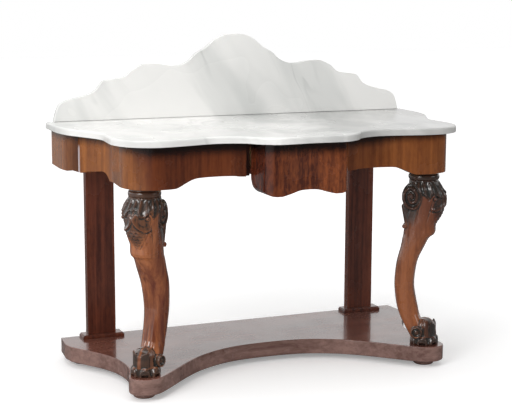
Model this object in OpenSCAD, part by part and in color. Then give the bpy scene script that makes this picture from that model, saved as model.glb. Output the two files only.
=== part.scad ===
// Washstand with a serpentine marble top, a marble splashback, a shaped frieze with one
// drawer, two cabriole front legs, two flat rear posts and a platform base on bun feet.
// Millimetres. X runs along the width, -Y is the front, +Z is up.
// The origin is on the floor, under the centre of the marble top.

/* [Marble top] */
// Overall width of the marble top
slab_w = 1228; // [1100:1:1400]
// Overall depth of the marble top, from the back edge to the centre bow
slab_d = 630; // [580:1:700]
// Thickness of the marble top
slab_t = 20; // [16:1:26]
// How far the marble stands out past the wood below it
overhang = 28; // [18:1:36]
// How far the marble stands out past the wood at the rear of each side
rear_overhang = 17; // [12:1:26]
// Half width of the flat front of the centre bow
bow_half = 104; // [90:1:120]
// How far the centre bow stands in front of the hollows beside it
bow_out = 88; // [70:1:100]
// How far each front corner lobe stands in front of the hollow
lobe_out = 27; // [15:1:36]
// How far the side hollow is cut in from the widest line
side_hollow = 77; // [50:1:90]
// Distance from the drawer opening to the middle of the hollow beside it
hollow_run = 100; // [90:1:110]
// Rounding of the top edge of the marble
slab_round = 5; // [3:1:7]

/* [Marble splashback] */
// Height of the splashback at its centre
splash_h = 260; // [220:1:300]
// Thickness of the splashback
splash_t = 20; // [16:1:25]
// How far each end of the splashback stops short of the end of the marble top
splash_end = 21; // [10:1:40]
// Height of the lowest shoulder, at the ends
shoulder_low = 76; // [60:1:90]
// Height of the middle shoulder
shoulder_mid = 128; // [115:1:145]
// Height of the shoulder next to the dome
shoulder_high = 170; // [158:1:185]
// Diameter of the pins that hold the splashback on the marble top
pin_d = 8; // [6:1:10]
// Length of those pins
pin_l = 28; // [24:1:34]

/* [Frieze] */
// Height of the wooden frame, from the floor to the underside of the marble
frame_h = 730; // [700:1:780]
// Thickness of the shaped frieze
frieze_t = 30; // [24:1:36]
// Height of the frieze in the front hollows
frieze_h = 98; // [92:1:104]
// Height of the frieze at the lobes over the front legs
lobe_h = 122; // [115:1:130]
// Height of the frieze along the rear half of each side
side_h = 112; // [106:1:118]
// Distance from the back edge to the joint in the side frieze
side_joint = 209; // [190:1:230]
// Thickness of the back rail
back_rail_t = 22; // [18:1:28]

/* [Drawer] */
// Half width of the opening between the two halves of the front frieze
opening_half = 160; // [150:1:170]
// Width of the stile at each side of the drawer
stile_w = 14; // [8:1:18]
// Gap at each side of the drawer front
drawer_gap = 2.5; // [2:0.5:4]
// Height of the drawer front at its two lobes
drawer_lobe_h = 152; // [145:1:158]
// Height of the drawer front at the rise between the lobes
drawer_rise_h = 136; // [130:1:142]
// Depth of the drawer box behind its front
drawer_box_d = 400; // [340:1:420]
// Thickness of the drawer sides and back
drawer_side_t = 10; // [8:1:13]
// Thickness of the drawer bottom
drawer_bottom_t = 7; // [5:1:9]
// Running clearance round the drawer box
run_gap = 1; // [0.6:0.1:1.5]
// Thickness of the rails and bearers that frame the drawer
rail_t = 18; // [15:1:20]

/* [Front legs] */
// Distance of each front leg's foot from the end of the marble top
leg_in = 156; // [146:1:174]
// Distance of each front leg's foot from the front of the centre bow
leg_back = 160; // [150:1:180]
// Direction in which each front leg points, in degrees from straight ahead
leg_turn = 54; // [40:1:60]
// Diameter of the round collar on top of each front leg
collar_d = 95; // [88:1:102]
// Height of that collar
collar_h = 26; // [20:1:30]
// How far the collar stands back from the foot, towards the inside
collar_back = 12; // [6:1:20]
// Diameter of the dowel at each end of a front leg
leg_dowel_d = 26; // [20:1:32]
// Length of that dowel
leg_dowel_l = 24; // [16:1:30]

/* [Rear posts] */
// Distance of each rear post's centre from the end of the marble top
post_in = 159; // [144:1:184]
// Width of each rear post
post_w = 90; // [80:1:100]
// Thickness of each rear post
post_t = 26; // [20:1:30]
// Gap between the back edge of the platform and the rear posts
post_gap = 4; // [2:1:8]
// How far the shoe stands out round the foot of a rear post
shoe_out = 22; // [15:1:28]
// Height of that shoe
shoe_h = 12; // [9:1:18]
// Length of the tenon at the foot of a rear post
tenon_l = 20; // [14:1:28]

/* [Platform] */
// How far each back corner of the platform stops short of the end of the marble top
plinth_in = 34; // [20:1:60]
// How far the middle of the platform's front edge stands behind the front legs' feet
plinth_hollow = 180; // [150:1:200]
// How far the platform reaches in front of the front legs' feet
plinth_lobe = 64; // [56:1:74]
// Thickness of the platform
plinth_t = 48; // [40:1:56]
// Height of the bun feet
foot_h = 18; // [14:1:26]
// Diameter of the bun feet
foot_d = 66; // [56:1:74]
// Diameter of the spigot on top of each bun foot
spigot_d = 22; // [16:1:28]
// Length of that spigot
spigot_l = 26; // [18:1:32]

/* [Hidden] */
$fn = 48;
fit = 0.1;
curve_steps = 6;
back_y = slab_d / 2;
front_y = -slab_d / 2;
slab_half = slab_w / 2;
slab_top = frame_h + slab_t;
plinth_top = foot_h + plinth_t;
plinth_half = slab_half - plinth_in;
leg_x = slab_half - leg_in;
leg_y = front_y + leg_back;
post_x = slab_half - post_in;

veneer = [0.50, 0.24, 0.12];
dark_wood = [0.24, 0.08, 0.06];
inner_wood = [0.62, 0.46, 0.30];
marble_white = [0.93, 0.93, 0.92];
brass = [0.72, 0.56, 0.28];

// ---- curves ----

// Point on a smooth curve between p1 and p2
function between(p0, p1, p2, p3, t) =
    0.5 * (2 * p1 + (p2 - p0) * t
        + (2 * p0 - 5 * p1 + 4 * p2 - p3) * t * t
        + (3 * p1 - p0 - 3 * p2 + p3) * t * t * t);

// Smooth curve through all the keys, open at both ends
function smooth(keys, before, after) =
    let (k = concat([before], keys, [after]))
    concat(
        [for (i = [1:len(k) - 3]) for (s = [0:curve_steps - 1])
            between(k[i - 1], k[i], k[i + 1], k[i + 2], s / curve_steps)],
        [keys[len(keys) - 1]]);

function mirrored(p) = [-p[0], p[1]];

// Full outline from the right half, which starts on the centre line at the front
function both_halves(half) =
    concat(half, [for (i = [len(half) - 1:-1:1]) mirrored(half[i])]);

function unit(v) = v / norm(v);
function turned(v) = [v[1], -v[0]];

// Closed counter-clockwise outline moved inwards by d
function inset(points, d) =
    let (n = len(points))
    [for (i = [0:n - 1])
        let (
            a = unit(turned(points[i] - points[(i + n - 1) % n])),
            b = unit(turned(points[(i + 1) % n] - points[i])),
            m = unit(a + b)
        )
        points[i] - m * d / max(m * a, 0.5)];

// Serpentine outline of the marble; bow is 1 for the marble and 0 for the frieze, which runs
// straight on across the drawer opening and past the back edge, and is wider at the rear
function serpentine_half(bow) =
    let (
        flare = (1 - bow) * (overhang - rear_overhang),
        hollow_y = front_y + bow_out,
        out = bow_out * bow,
        bow_y = hollow_y - out,
        lobe_y = hollow_y - lobe_out,
        run = opening_half + hollow_run,
        flank = run - bow_half,
        deep = back_y - lobe_y,
        end_y = back_y + (1 - bow) * hollow_run,
        keys = [
            [0, bow_y + 0.06 * out],
            [bow_half * 0.6, bow_y + 0.01 * out],
            [bow_half, bow_y + 0.01 * out],
            [bow_half + 0.295 * flank, bow_y + 0.295 * out],
            [bow_half + 0.54 * flank, bow_y + 0.76 * out],
            [run, hollow_y],
            [leg_x - 0.63 * leg_in, lobe_y + 0.33 * lobe_out],
            [leg_x - 0.3 * leg_in, lobe_y],
            [leg_x - 0.01 * leg_in, lobe_y + 0.11 * lobe_out],
            [leg_x + 0.28 * leg_in, lobe_y + 0.044 * deep],
            [leg_x + 0.47 * leg_in, lobe_y + 0.114 * deep],
            [slab_half - 0.92 * side_hollow, lobe_y + 0.197 * deep],
            [slab_half - 0.96 * side_hollow, lobe_y + 0.29 * deep],
            [slab_half - side_hollow, lobe_y + 0.39 * deep],
            [slab_half - 0.82 * side_hollow, lobe_y + 0.471 * deep],
            [slab_half - 0.494 * side_hollow, lobe_y + 0.566 * deep],
            [slab_half - 0.156 * side_hollow + 0.7 * flare, lobe_y + 0.671 * deep],
            [slab_half + flare, lobe_y + 0.8 * deep],
            [slab_half + flare, end_y]
        ]
    )
    smooth(keys, mirrored(keys[1]), [slab_half + flare, end_y + hollow_run]);

// The smoothed line is held within the overall size
function held(points) = [for (p = points) [min(p[0], slab_half), max(p[1], front_y)]];

slab_outline = both_halves(held(serpentine_half(1)));
frieze_line = both_halves(serpentine_half(0));

// Outline of the platform, hollow in front and at the sides, with a round lobe under each leg
function plinth_half_outline() =
    let (
        r = plinth_lobe,
        x = leg_x + r / 8,
        hollow = plinth_hollow,
        wide = plinth_half - x,
        deep = back_y - leg_y,
        keys = [
            [0, leg_y + hollow],
            [0.155 * x, leg_y + 0.983 * hollow],
            [0.311 * x, leg_y + 0.9 * hollow],
            [0.483 * x, leg_y + 0.69 * hollow],
            [0.633 * x, leg_y + 0.39 * hollow],
            [x - 1.125 * r, leg_y - 0.42 * r],
            [x - 0.53 * r, leg_y - 0.9 * r],
            [x + 0.06 * r, leg_y - r],
            [x + 0.53 * r, leg_y - 0.73 * r],
            [x + 0.66 * r, leg_y - 0.25 * r],
            [x + 0.44 * r, leg_y + 0.41 * r],
            [x + 0.14 * wide, leg_y + 0.153 * deep],
            [x + 0.13 * wide, leg_y + 0.264 * deep],
            [x + 0.21 * wide, leg_y + 0.391 * deep],
            [x + 0.404 * wide, leg_y + 0.511 * deep],
            [x + 0.72 * wide, leg_y + 0.638 * deep],
            [plinth_half, leg_y + 0.749 * deep]
        ],
        corner = [plinth_half, back_y]
    )
    concat(smooth(keys, mirrored(keys[1]), [plinth_half + 0.18 * wide, leg_y + 0.85 * deep]), [corner]);

plinth_outline = both_halves(plinth_half_outline());

// ---- marble ----

splash_half = slab_half - splash_end;
pin_x = splash_half * 0.8;
pin_y = back_y - splash_t / 2;

module pin_holes(z) {
    for (x = [-pin_x, 0, pin_x])
        translate([x, pin_y, z]) cylinder(d = pin_d, h = pin_l);
}

module marble_top() {
    color(marble_white)
    difference() {
        union() {
            translate([0, 0, frame_h])
                linear_extrude(slab_t - slab_round) polygon(slab_outline);
            translate([0, 0, slab_top - slab_round - 1])
                linear_extrude(slab_round * 0.6 + 1) polygon(inset(slab_outline, slab_round * 0.3));
            translate([0, 0, slab_top - slab_round])
                linear_extrude(slab_round) polygon(inset(slab_outline, slab_round * 0.8));
        }
        pin_holes(slab_top - pin_l / 2);
    }
}

// Right half of the stepped top line of the splashback, from the dome to the end
function splash_half_line() =
    let (
        e = splash_half,
        h = splash_h,
        keys = [
            [0, h],
            [0.057 * e, 0.992 * h],
            [0.111 * e, 0.938 * h],
            [0.169 * e, 0.835 * h],
            [0.219 * e, shoulder_high + 0.119 * h],
            [0.27 * e, shoulder_high + 0.023 * h],
            [0.337 * e, shoulder_high - 0.023 * h],
            [0.422 * e, shoulder_high],
            [0.494 * e, shoulder_high + 0.008 * h],
            [0.528 * e, shoulder_high - 0.008 * h],
            [0.575 * e, shoulder_mid + 0.1 * h],
            [0.622 * e, shoulder_mid + 0.019 * h],
            [0.72 * e, shoulder_mid - 0.015 * h],
            [0.744 * e, shoulder_mid - 0.046 * h],
            [0.774 * e, shoulder_mid - 0.127 * h],
            [0.814 * e, shoulder_low + 0.027 * h],
            [0.875 * e, shoulder_low - 0.012 * h],
            [0.929 * e, shoulder_low - 0.038 * h],
            [0.966 * e, shoulder_low - 0.085 * h],
            [0.985 * e, shoulder_low - 0.162 * h],
            [e, 0]
        ]
    )
    smooth(keys, mirrored(keys[1]), [1.01 * e, -0.115 * h]);

module marble_splashback() {
    half = splash_half_line();
    outline = concat(half, [for (i = [len(half) - 1:-1:1]) mirrored(half[i])]);
    color(marble_white)
    difference() {
        translate([0, back_y, slab_top])
            rotate([90, 0, 0]) linear_extrude(splash_t) polygon(outline);
        pin_holes(slab_top - pin_l / 2);
    }
}

module splashback_pins() {
    color(brass) pin_holes(slab_top - pin_l / 2);
}

// ---- frieze ----

wood_outline = inset(frieze_line, overhang);
wood_half = slab_half - rear_overhang;
collar_y = leg_y + collar_back * cos(leg_turn);
collar_x = leg_x - collar_back * sin(leg_turn);
frieze_front_y = front_y + bow_out + overhang;
frieze_inner_y = frieze_front_y + frieze_t;
rail_front_y = back_y - post_gap - post_t - back_rail_t;
frieze_last = len(frieze_line) / 2;

// Right half of the inner line of the frieze, without the corner past the back edge
frieze_inner =
    let (line = inset(wood_outline, frieze_t))
    [for (i = [0:frieze_last - 1]) line[i]];

// Front view of the space below the front frieze, right half
function front_cut_line() =
    let (
        z = frame_h - frieze_h,
        fall = lobe_h - frieze_h,
        w = collar_d,
        keys = [
            [opening_half, z - 0.15 * fall],
            [opening_half + 0.154 * (leg_x - opening_half), z],
            [leg_x - 1.7 * w, z + 0.04 * fall],
            [leg_x - 1.39 * w, z - 0.1 * fall],
            [leg_x - 1.14 * w, z - 0.48 * fall],
            [leg_x - 0.94 * w, z - 0.84 * fall],
            [leg_x - 0.74 * w, z - fall]
        ]
    )
    concat(
        [[0, z - fall - 1], [0, z - 0.15 * fall]],
        smooth(keys, [0, z - 0.15 * fall], [leg_x, z - fall]),
        [[leg_x - 0.74 * w, z - fall - 1]]);

// Side view of the space below the side frieze, from the back edge forwards
function side_cut_line() =
    let (
        b = back_y,
        j = back_y - side_joint,
        z = frame_h - side_h,
        run = j - collar_y,
        low = frame_h - lobe_h
    )
    concat(
        [
            [b + 1, low - 1],
            [b + 1, z + 0.027 * side_h],
            [b - 0.45 * side_joint, z],
            [b - 0.75 * side_joint, z + 0.009 * side_h],
            [b - 0.88 * side_joint, z + 0.05 * side_h],
            [j + 0.018 * run, z + 0.027 * side_h]
        ],
        smooth([
            [j - 0.02 * run, z + 0.009 * side_h],
            [j - 0.1 * run, z + 0.062 * side_h],
            [j - 0.24 * run, z + 0.1 * side_h],
            [j - 0.35 * run, z + 0.13 * side_h],
            [j - 0.42 * run, z + 0.07 * side_h],
            [j - 0.48 * run, low]
        ], [j + 0.018 * run, z], [j - 0.52 * run, low - 4]),
        [[j - 0.48 * run, low - 1]]);

// Plan of the right half of the frieze, a band between two lines
function frieze_band() = concat(
    [for (i = [0:frieze_last]) wood_outline[i]],
    [for (i = [frieze_last - 1:-1:0]) frieze_inner[i]]);

module frieze_shape() {
    difference() {
        translate([0, 0, frame_h - lobe_h])
            linear_extrude(lobe_h) polygon(frieze_band());
        // front hollow, seen from the front
        translate([0, collar_y, 0]) rotate([90, 0, 0])
            linear_extrude(slab_d) polygon(front_cut_line());
        // side hollow, seen from the side
        translate([collar_x, 0, 0]) rotate([90, 0, 90])
            linear_extrude(slab_w) polygon(side_cut_line());
    }
}

// Right half of the frieze, from the drawer opening round the corner to the side joint
module frieze_half() {
    intersection() {
        frieze_shape();
        translate([opening_half, front_y, 0])
            cube([slab_half, back_y - side_joint - front_y, frame_h]);
    }
}

module side_frieze_half() {
    intersection() {
        frieze_shape();
        translate([opening_half, back_y - side_joint, 0])
            cube([slab_half, side_joint - post_gap, frame_h]);
    }
}

module frieze_right() { color(veneer) frieze_half(); }
module frieze_left() { color(veneer) mirror([1, 0, 0]) frieze_half(); }
module side_frieze_right() { color(veneer) side_frieze_half(); }
module side_frieze_left() { color(veneer) mirror([1, 0, 0]) side_frieze_half(); }

// Rail between the rear ends of the side friezes
module back_rail() {
    color(inner_wood)
    difference() {
        intersection() {
            translate([-wood_half, rail_front_y, frame_h - side_h])
                cube([2 * wood_half, back_rail_t, side_h]);
            inside_frieze();
        }
        screw_places(fit);
    }
}

// Space inside the frieze, as a solid that blocks are cut to
module inside_frieze() {
    translate([0, 0, frame_h - lobe_h])
        linear_extrude(lobe_h) polygon(both_halves(frieze_inner));
}

block_w = collar_d * 0.97;

// Block in the corner that takes the dowel of the leg, shaped to the inside of the frieze
module corner_block_half() {
    difference() {
        intersection() {
            inside_frieze();
            translate([collar_x, collar_y, frame_h - lobe_h])
                rotate([0, 0, leg_turn])
                    translate([-block_w / 2, -block_w / 2, 0]) cube([block_w, block_w, lobe_h]);
        }
        translate([collar_x, collar_y, frame_h - lobe_h - 1])
            cylinder(d = leg_dowel_d + 2 * fit, h = leg_dowel_l + 2);
    }
}

module corner_block_right() { color(inner_wood) corner_block_half(); }
module corner_block_left() { color(inner_wood) mirror([1, 0, 0]) corner_block_half(); }

// ---- frame round the drawer ----

stile_set_back = frieze_t * 0.3;
drawer_half = opening_half - stile_w - drawer_gap;
rail_z = frame_h - frieze_h + 2;
box_z = rail_z + rail_t;
box_top = frame_h - rail_t;
box_half = drawer_half - 8;
rail_depth = frieze_t;
rail_y = frieze_inner_y;
stop_gap = 0.3;
rail_half = opening_half + 2.5 * stile_w;

module stile_half() {
    translate([opening_half - stile_w, frieze_front_y + stile_set_back, rail_z])
        cube([stile_w, frieze_t - stile_set_back, frame_h - rail_z]);
}

module drawer_stile_right() { color(dark_wood) stile_half(); }
module drawer_stile_left() { color(dark_wood) mirror([1, 0, 0]) stile_half(); }

// Rail fitted to the back of the frieze, with a tongue that fills the opening up to the drawer front
module notched_rail(z) {
    tongue_y = front_back_y + stop_gap;
    tongue_half = opening_half - stile_w;
    intersection() {
        translate([-rail_half, rail_y, z]) cube([2 * rail_half, rail_depth, rail_t]);
        inside_frieze();
    }
    translate([-tongue_half, tongue_y, z])
        cube([2 * tongue_half, rail_y - tongue_y + 1, rail_t]);
}

module drawer_rail() { color(inner_wood) notched_rail(rail_z); }
module top_rail() { color(inner_wood) notched_rail(box_top); }

runner_y = rail_y + rail_depth;
runner_l = rail_front_y - runner_y;
runner_in = rail_t;
guide_t = 14;

// L-shaped runner: the drawer rides on its ledge and the upright guides it
module runner_half() {
    translate([box_half + run_gap - runner_in, runner_y, rail_z])
        cube([runner_in + guide_t, runner_l, rail_t]);
    translate([box_half + run_gap, runner_y, rail_z])
        cube([guide_t, runner_l, box_top - rail_z]);
}

module drawer_runner_right() { color(inner_wood) runner_half(); }
module drawer_runner_left() { color(inner_wood) mirror([1, 0, 0]) runner_half(); }

bearer_w = 50;

module bearer_half() {
    translate([box_half - runner_in, runner_y, box_top])
        cube([bearer_w, runner_l, rail_t]);
}

module bearer_right() { color(inner_wood) bearer_half(); }
module bearer_left() { color(inner_wood) mirror([1, 0, 0]) bearer_half(); }

block_side = 26;

// Blocks glued into the corner at the back rail and across the joint in the side frieze
module glue_block_pair() {
    intersection() {
        inside_frieze();
        union() {
            translate([wood_half - 3 * block_side, rail_front_y - block_side, frame_h - frieze_h])
                cube([3 * block_side, block_side, frieze_h]);
            translate([wood_half - 4 * block_side, back_y - side_joint - block_side,
                       frame_h - frieze_h])
                cube([4 * block_side, 2 * block_side, frieze_h]);
        }
    }
}

module glue_blocks() {
    color(inner_wood) {
        glue_block_pair();
        mirror([1, 0, 0]) glue_block_pair();
    }
}

// ---- drawer ----

drawer_top = frame_h - run_gap - 0.5;
front_back_y = frieze_front_y + frieze_t / 5;
bow_front_y = front_y + overhang + 2;
box_h = box_top - box_z - 2 * run_gap;
box_low = box_z + run_gap;
groove_d = drawer_side_t * 0.4;
groove_z = box_low + 6;

// Plan of the drawer front, right half: a broad bow with steep rounded ends
function drawer_plan_half() =
    let (e = drawer_half, y = bow_front_y, d = front_back_y - bow_front_y)
    concat(
        smooth([
            [0, y + 0.043 * d],
            [0.39 * e, y + 0.011 * d],
            [0.67 * e, y],
            [0.8 * e, y + 0.04 * d],
            [0.9 * e, y + 0.217 * d],
            [0.95 * e, y + 0.46 * d],
            [0.985 * e, y + 0.73 * d],
            [e, y + 0.957 * d]
        ], [-0.39 * e, y + 0.011 * d], [e, y + 1.1 * d]),
        [[e, y + d]]);

// Lower line of the drawer front, right half
function drawer_low_half() =
    let (
        h = drawer_lobe_h,
        z = frame_h - h,
        rise = drawer_lobe_h - drawer_rise_h,
        e = drawer_half
    )
    concat(
        smooth([
            [0, z + rise],
            [0.2 * e, z + 0.9 * rise],
            [0.4 * e, z + 0.4 * rise],
            [0.587 * e, z],
            [0.7 * e, z],
            [0.82 * e, z + 0.02 * h],
            [0.9 * e, z + 0.066 * h],
            [0.965 * e, z + 0.15 * h],
            [e, z + 0.303 * h]
        ], [-0.2 * e, z + 0.9 * rise], [e, z + 0.4 * h]),
        [[e + 1, z + 0.303 * h], [e + 1, frame_h + 1]]);

module drawer_front() {
    low = drawer_low_half();
    color(veneer)
    intersection() {
        translate([0, 0, frame_h - drawer_lobe_h])
            linear_extrude(drawer_top - frame_h + drawer_lobe_h)
                polygon(both_halves(drawer_plan_half()));
        translate([0, front_back_y, 0]) rotate([90, 0, 0])
            linear_extrude(slab_d)
                polygon(concat(low, [for (i = [len(low) - 1:-1:1]) mirrored(low[i])]));
    }
}

// Side of the drawer box, grooved for the bottom
module drawer_side_half() {
    difference() {
        translate([box_half - drawer_side_t, front_back_y, box_low])
            cube([drawer_side_t, drawer_box_d, box_h]);
        translate([box_half - drawer_side_t - 1, front_back_y - 1, groove_z])
            cube([groove_d + 1, drawer_box_d + 2, drawer_bottom_t]);
    }
}

module drawer_side_right() { color(inner_wood) drawer_side_half(); }
module drawer_side_left() { color(inner_wood) mirror([1, 0, 0]) drawer_side_half(); }

module drawer_back() {
    inner_half = box_half - drawer_side_t;
    z = groove_z + drawer_bottom_t;
    color(inner_wood)
    translate([-inner_half, front_back_y + drawer_box_d - drawer_side_t, z])
        cube([2 * inner_half, drawer_side_t, box_low + box_h - z]);
}

module drawer_bottom() {
    half = box_half - drawer_side_t + groove_d;
    color(inner_wood)
    translate([-half, front_back_y, groove_z])
        cube([2 * half, drawer_box_d, drawer_bottom_t]);
}

// ---- front legs ----

collar_low = frame_h - lobe_h - collar_h;

// Turned collar on top of the leg, a round moulding below a narrower neck
module leg_collar_half() {
    r = collar_d / 2;
    h = collar_h;
    translate([collar_x, collar_y, collar_low])
        difference() {
            rotate_extrude()
                polygon([
                    [0, 0], [0.93 * r, 0], [0.98 * r, 0.12 * h], [r, 0.3 * h],
                    [0.985 * r, 0.5 * h], [0.94 * r, 0.62 * h], [0.9 * r, 0.68 * h],
                    [0.9 * r, h], [0, h]
                ]);
            translate([0, 0, -1]) cylinder(d = leg_dowel_d + 2 * fit, h = h + 2);
        }
}

module leg_collar_right() { color(dark_wood) leg_collar_half(); }
module leg_collar_left() { color(dark_wood) mirror([1, 0, 0]) leg_collar_half(); }

// Leg sections from the collar down: share of the leg's height, then in hundredths of the
// collar's diameter the middle line's place, half the depth and half the width
leg_sections = [
    [1.000, -12.6, 46.3, 46.3],
    [0.979, -12.6, 47.4, 47.4],
    [0.946, -9.0, 54.5, 55.5],
    [0.901, 1.0, 58.5, 51.5],
    [0.841, -2.5, 60.0, 47.0],
    [0.783, -13.5, 60.5, 44.5],
    [0.732, -20.0, 50.5, 45.0],
    [0.684, -23.0, 50.5, 44.5],
    [0.665, -26.5, 48.0, 44.5],
    [0.645, -34.0, 43.0, 44.5],
    [0.588, -44.2, 37.9, 45.8],
    [0.512, -58.9, 33.7, 45.3],
    [0.440, -65.8, 32.6, 42.1],
    [0.359, -68.4, 31.9, 38.9],
    [0.287, -64.2, 32.6, 36.3],
    [0.220, -57.4, 33.2, 35.1],
    [0.153, -46.3, 31.1, 35.3],
    [0.097, -29.5, 29.5, 36.8],
    [0.047, -8.4, 34.7, 40.0],
    [0.000, 0.0, 37.9, 40.0]
];
leg_low = plinth_top;
leg_tall = collar_low - leg_low;
ring_count = 24;
squareness = 2.5;

function super(c) = sign(c) * pow(abs(c), 2 / squareness);

function leg_ring(s) =
    let (
        u = s[1] * collar_d / 100,
        depth = s[2] * collar_d / 100,
        width = s[3] * collar_d / 100
    )
    [for (i = [0:ring_count - 1])
        let (a = 360 * (i + 0.5) / ring_count)
        [u + depth * super(cos(a)), width * super(sin(a)), leg_low + leg_tall * s[0]]];

leg_steps = 3;

function leg_rings() =
    let (k = concat([leg_sections[0]], leg_sections, [leg_sections[len(leg_sections) - 1]]))
    concat(
        [for (i = [1:len(k) - 3]) for (s = [0:leg_steps - 1])
            leg_ring(between(k[i - 1], k[i], k[i + 1], k[i + 2], s / leg_steps))],
        [leg_ring(leg_sections[len(leg_sections) - 1])]);

// Solid through a stack of rings that run from the top down
module skin(rings) {
    n = len(rings[0]);
    last = len(rings) - 1;
    polyhedron(
        points = [for (r = rings) each r],
        faces = concat(
            [[for (i = [n - 1:-1:0]) i]],
            [for (r = [0:last - 1]) for (i = [0:n - 1])
                [r * n + i, r * n + (i + 1) % n, (r + 1) * n + (i + 1) % n, (r + 1) * n + i]],
            [[for (i = [0:n - 1]) last * n + i]]),
        convexity = 6);
}

// Scrolls on both sides behind the knee
volute_u = -0.45 * collar_d;
volute_z = collar_low - 0.1 * leg_tall;
volute_depth = 0.33 * collar_d;
volute_height = 0.081 * leg_tall;
volute_half = 0.4 * collar_d;
// Small roll across the back, below the scrolls
curl_u = -0.685 * collar_d;
curl_z = collar_low - 0.281 * leg_tall;
curl_r = 0.074 * collar_d;
curl_half = 0.35 * collar_d;
// Roll across the ankle
ankle_u = -0.19 * collar_d;
ankle_z = leg_low + 0.079 * leg_tall;
ankle_r = 0.132 * collar_d;
ankle_half = 0.58 * collar_d;
// Ball of the foot, with a petal over its front
ball_u = 0.074 * collar_d;
ball_z = leg_low + 0.1 * leg_tall;
ball_r = 0.316 * collar_d;
petal_u = 0.18 * collar_d;
petal_z = leg_low + 0.093 * leg_tall;
petal_r = 0.284 * collar_d;
toe_r = 0.147 * collar_d;
toe_reach = 0.337 * collar_d;
toe_u = 0.04 * collar_d;
toe_count = 8;

// Oval bar across the leg
module oval_across(u, z, depth, height, half) {
    translate([u, half, z]) rotate([90, 0, 0])
        linear_extrude(2 * half)
            polygon([for (a = [0:15:345]) [depth * cos(a), height * sin(a)]]);
}

// Round bar across the leg
module across(u, z, r, half) {
    translate([u, half, z]) rotate([90, 0, 0]) cylinder(r = r, h = 2 * half);
}

// Leg in its own plane: +X is outwards, the foot is over the origin
module leg_form() {
    skin(leg_rings());
    oval_across(volute_u, volute_z, volute_depth, volute_height, volute_half);
    oval_across(volute_u, volute_z, volute_depth / 2, volute_height / 2, volute_half * 1.07);
    across(curl_u, curl_z, curl_r, curl_half);
    across(ankle_u, ankle_z, ankle_r, ankle_half);
    translate([ball_u, 0, ball_z]) sphere(r = ball_r);
    translate([petal_u, 0, petal_z]) sphere(r = petal_r);
    for (i = [0:toe_count - 1])
        let (a = 360 * i / toe_count)
        translate([toe_u + toe_reach * cos(a), toe_reach * sin(a), leg_low + 0.75 * toe_r])
            sphere(r = toe_r);
}

module leg_half() {
    translate([leg_x, leg_y, 0]) rotate([0, 0, leg_turn - 90])
        intersection() {
            leg_form();
            translate([-slab_w, -slab_w, leg_low]) cube([2 * slab_w, 2 * slab_w, leg_tall]);
        }
    translate([collar_x, collar_y, collar_low - 1])
        cylinder(d = leg_dowel_d, h = leg_dowel_l + collar_h);
    translate([leg_x, leg_y, plinth_top - leg_dowel_l])
        cylinder(d = leg_dowel_d, h = leg_dowel_l + 1);
}

module front_leg_right() { color(dark_wood) leg_half(); }
module front_leg_left() { color(dark_wood) mirror([1, 0, 0]) leg_half(); }

// ---- rear posts ----

post_y = back_y - post_gap - post_t;
shoe_back_y = back_y - post_gap;
tenon_w = post_w * 0.73;
tenon_t = post_t * 0.54;

// Tenon at the foot of a rear post, from z up, with room round it
module post_tenon(side, z, h, room) {
    translate([side * post_x - tenon_w / 2 - room, post_y + (post_t - tenon_t) / 2 - room, z])
        cube([tenon_w + 2 * room, tenon_t + 2 * room, h]);
}

module rear_post(side) {
    difference() {
        union() {
            translate([side * post_x - post_w / 2, post_y, plinth_top])
                cube([post_w, post_t, frame_h - plinth_top]);
            post_tenon(side, plinth_top - tenon_l, tenon_l + 1, 0);
        }
        screw_places(fit);
    }
}

module rear_post_right() { color(dark_wood) rear_post(1); }
module rear_post_left() { color(dark_wood) rear_post(-1); }

screw_d = 5;
screw_head_d = 9;
screw_head_h = 3;
screw_l = 36;

// Places of the countersunk screws through each rear post into the back rail
module at_screws() {
    for (s = [-1, 1], dx = [-0.29, 0.29], dz = [0.21, 0.66])
        translate([s * post_x + dx * post_w, post_y + post_t, frame_h - dz * side_h])
            rotate([90, 0, 0]) children();
}

module screw_places(gap) {
    at_screws() {
        translate([0, 0, -1]) cylinder(d = screw_d + 2 * gap, h = screw_l + 1 + gap);
        translate([0, 0, -1]) cylinder(d = screw_head_d + 2 * gap, h = screw_head_h + 1 + gap);
    }
}

module post_screws() {
    color(brass)
    at_screws() {
        cylinder(d = screw_d, h = screw_l);
        cylinder(d = screw_head_d, h = screw_head_h);
    }
}

// Low bevelled block round the foot of a rear post
module post_shoe_half() {
    w = post_w + 2 * shoe_out;
    d = post_t + shoe_out;
    bevel = shoe_h * 0.28;
    difference() {
        union() {
            translate([post_x - w / 2, shoe_back_y - d, plinth_top])
                cube([w, d, shoe_h - bevel]);
            translate([post_x - w / 2 + bevel, shoe_back_y - d + bevel, plinth_top])
                cube([w - 2 * bevel, d - bevel, shoe_h]);
        }
        translate([post_x - post_w / 2, post_y, plinth_top - 1])
            cube([post_w, post_t + 1, shoe_h + 2]);
    }
}

module post_shoe_right() { color(dark_wood) post_shoe_half(); }
module post_shoe_left() { color(dark_wood) mirror([1, 0, 0]) post_shoe_half(); }

// ---- platform and feet ----

rear_foot_x = plinth_half - 0.79 * foot_d;
foot_places = [
    [-leg_x, leg_y], [leg_x, leg_y],
    [-rear_foot_x, back_y - foot_d], [rear_foot_x, back_y - foot_d]
];
spigot_up = min(spigot_l, plinth_t / 2);

module plinth() {
    color(dark_wood)
    difference() {
        translate([0, 0, foot_h]) linear_extrude(plinth_t) polygon(plinth_outline);
        for (p = foot_places)
            translate([p[0], p[1], foot_h - 1])
                cylinder(d = spigot_d + 2 * fit, h = spigot_up + 1.5);
        for (s = [-1, 1]) {
            translate([s * leg_x, leg_y, plinth_top - leg_dowel_l - 0.5])
                cylinder(d = leg_dowel_d + 2 * fit, h = leg_dowel_l + 2);
            post_tenon(s, plinth_top - tenon_l - 0.5, tenon_l + 2, fit);
        }
    }
}

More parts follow.
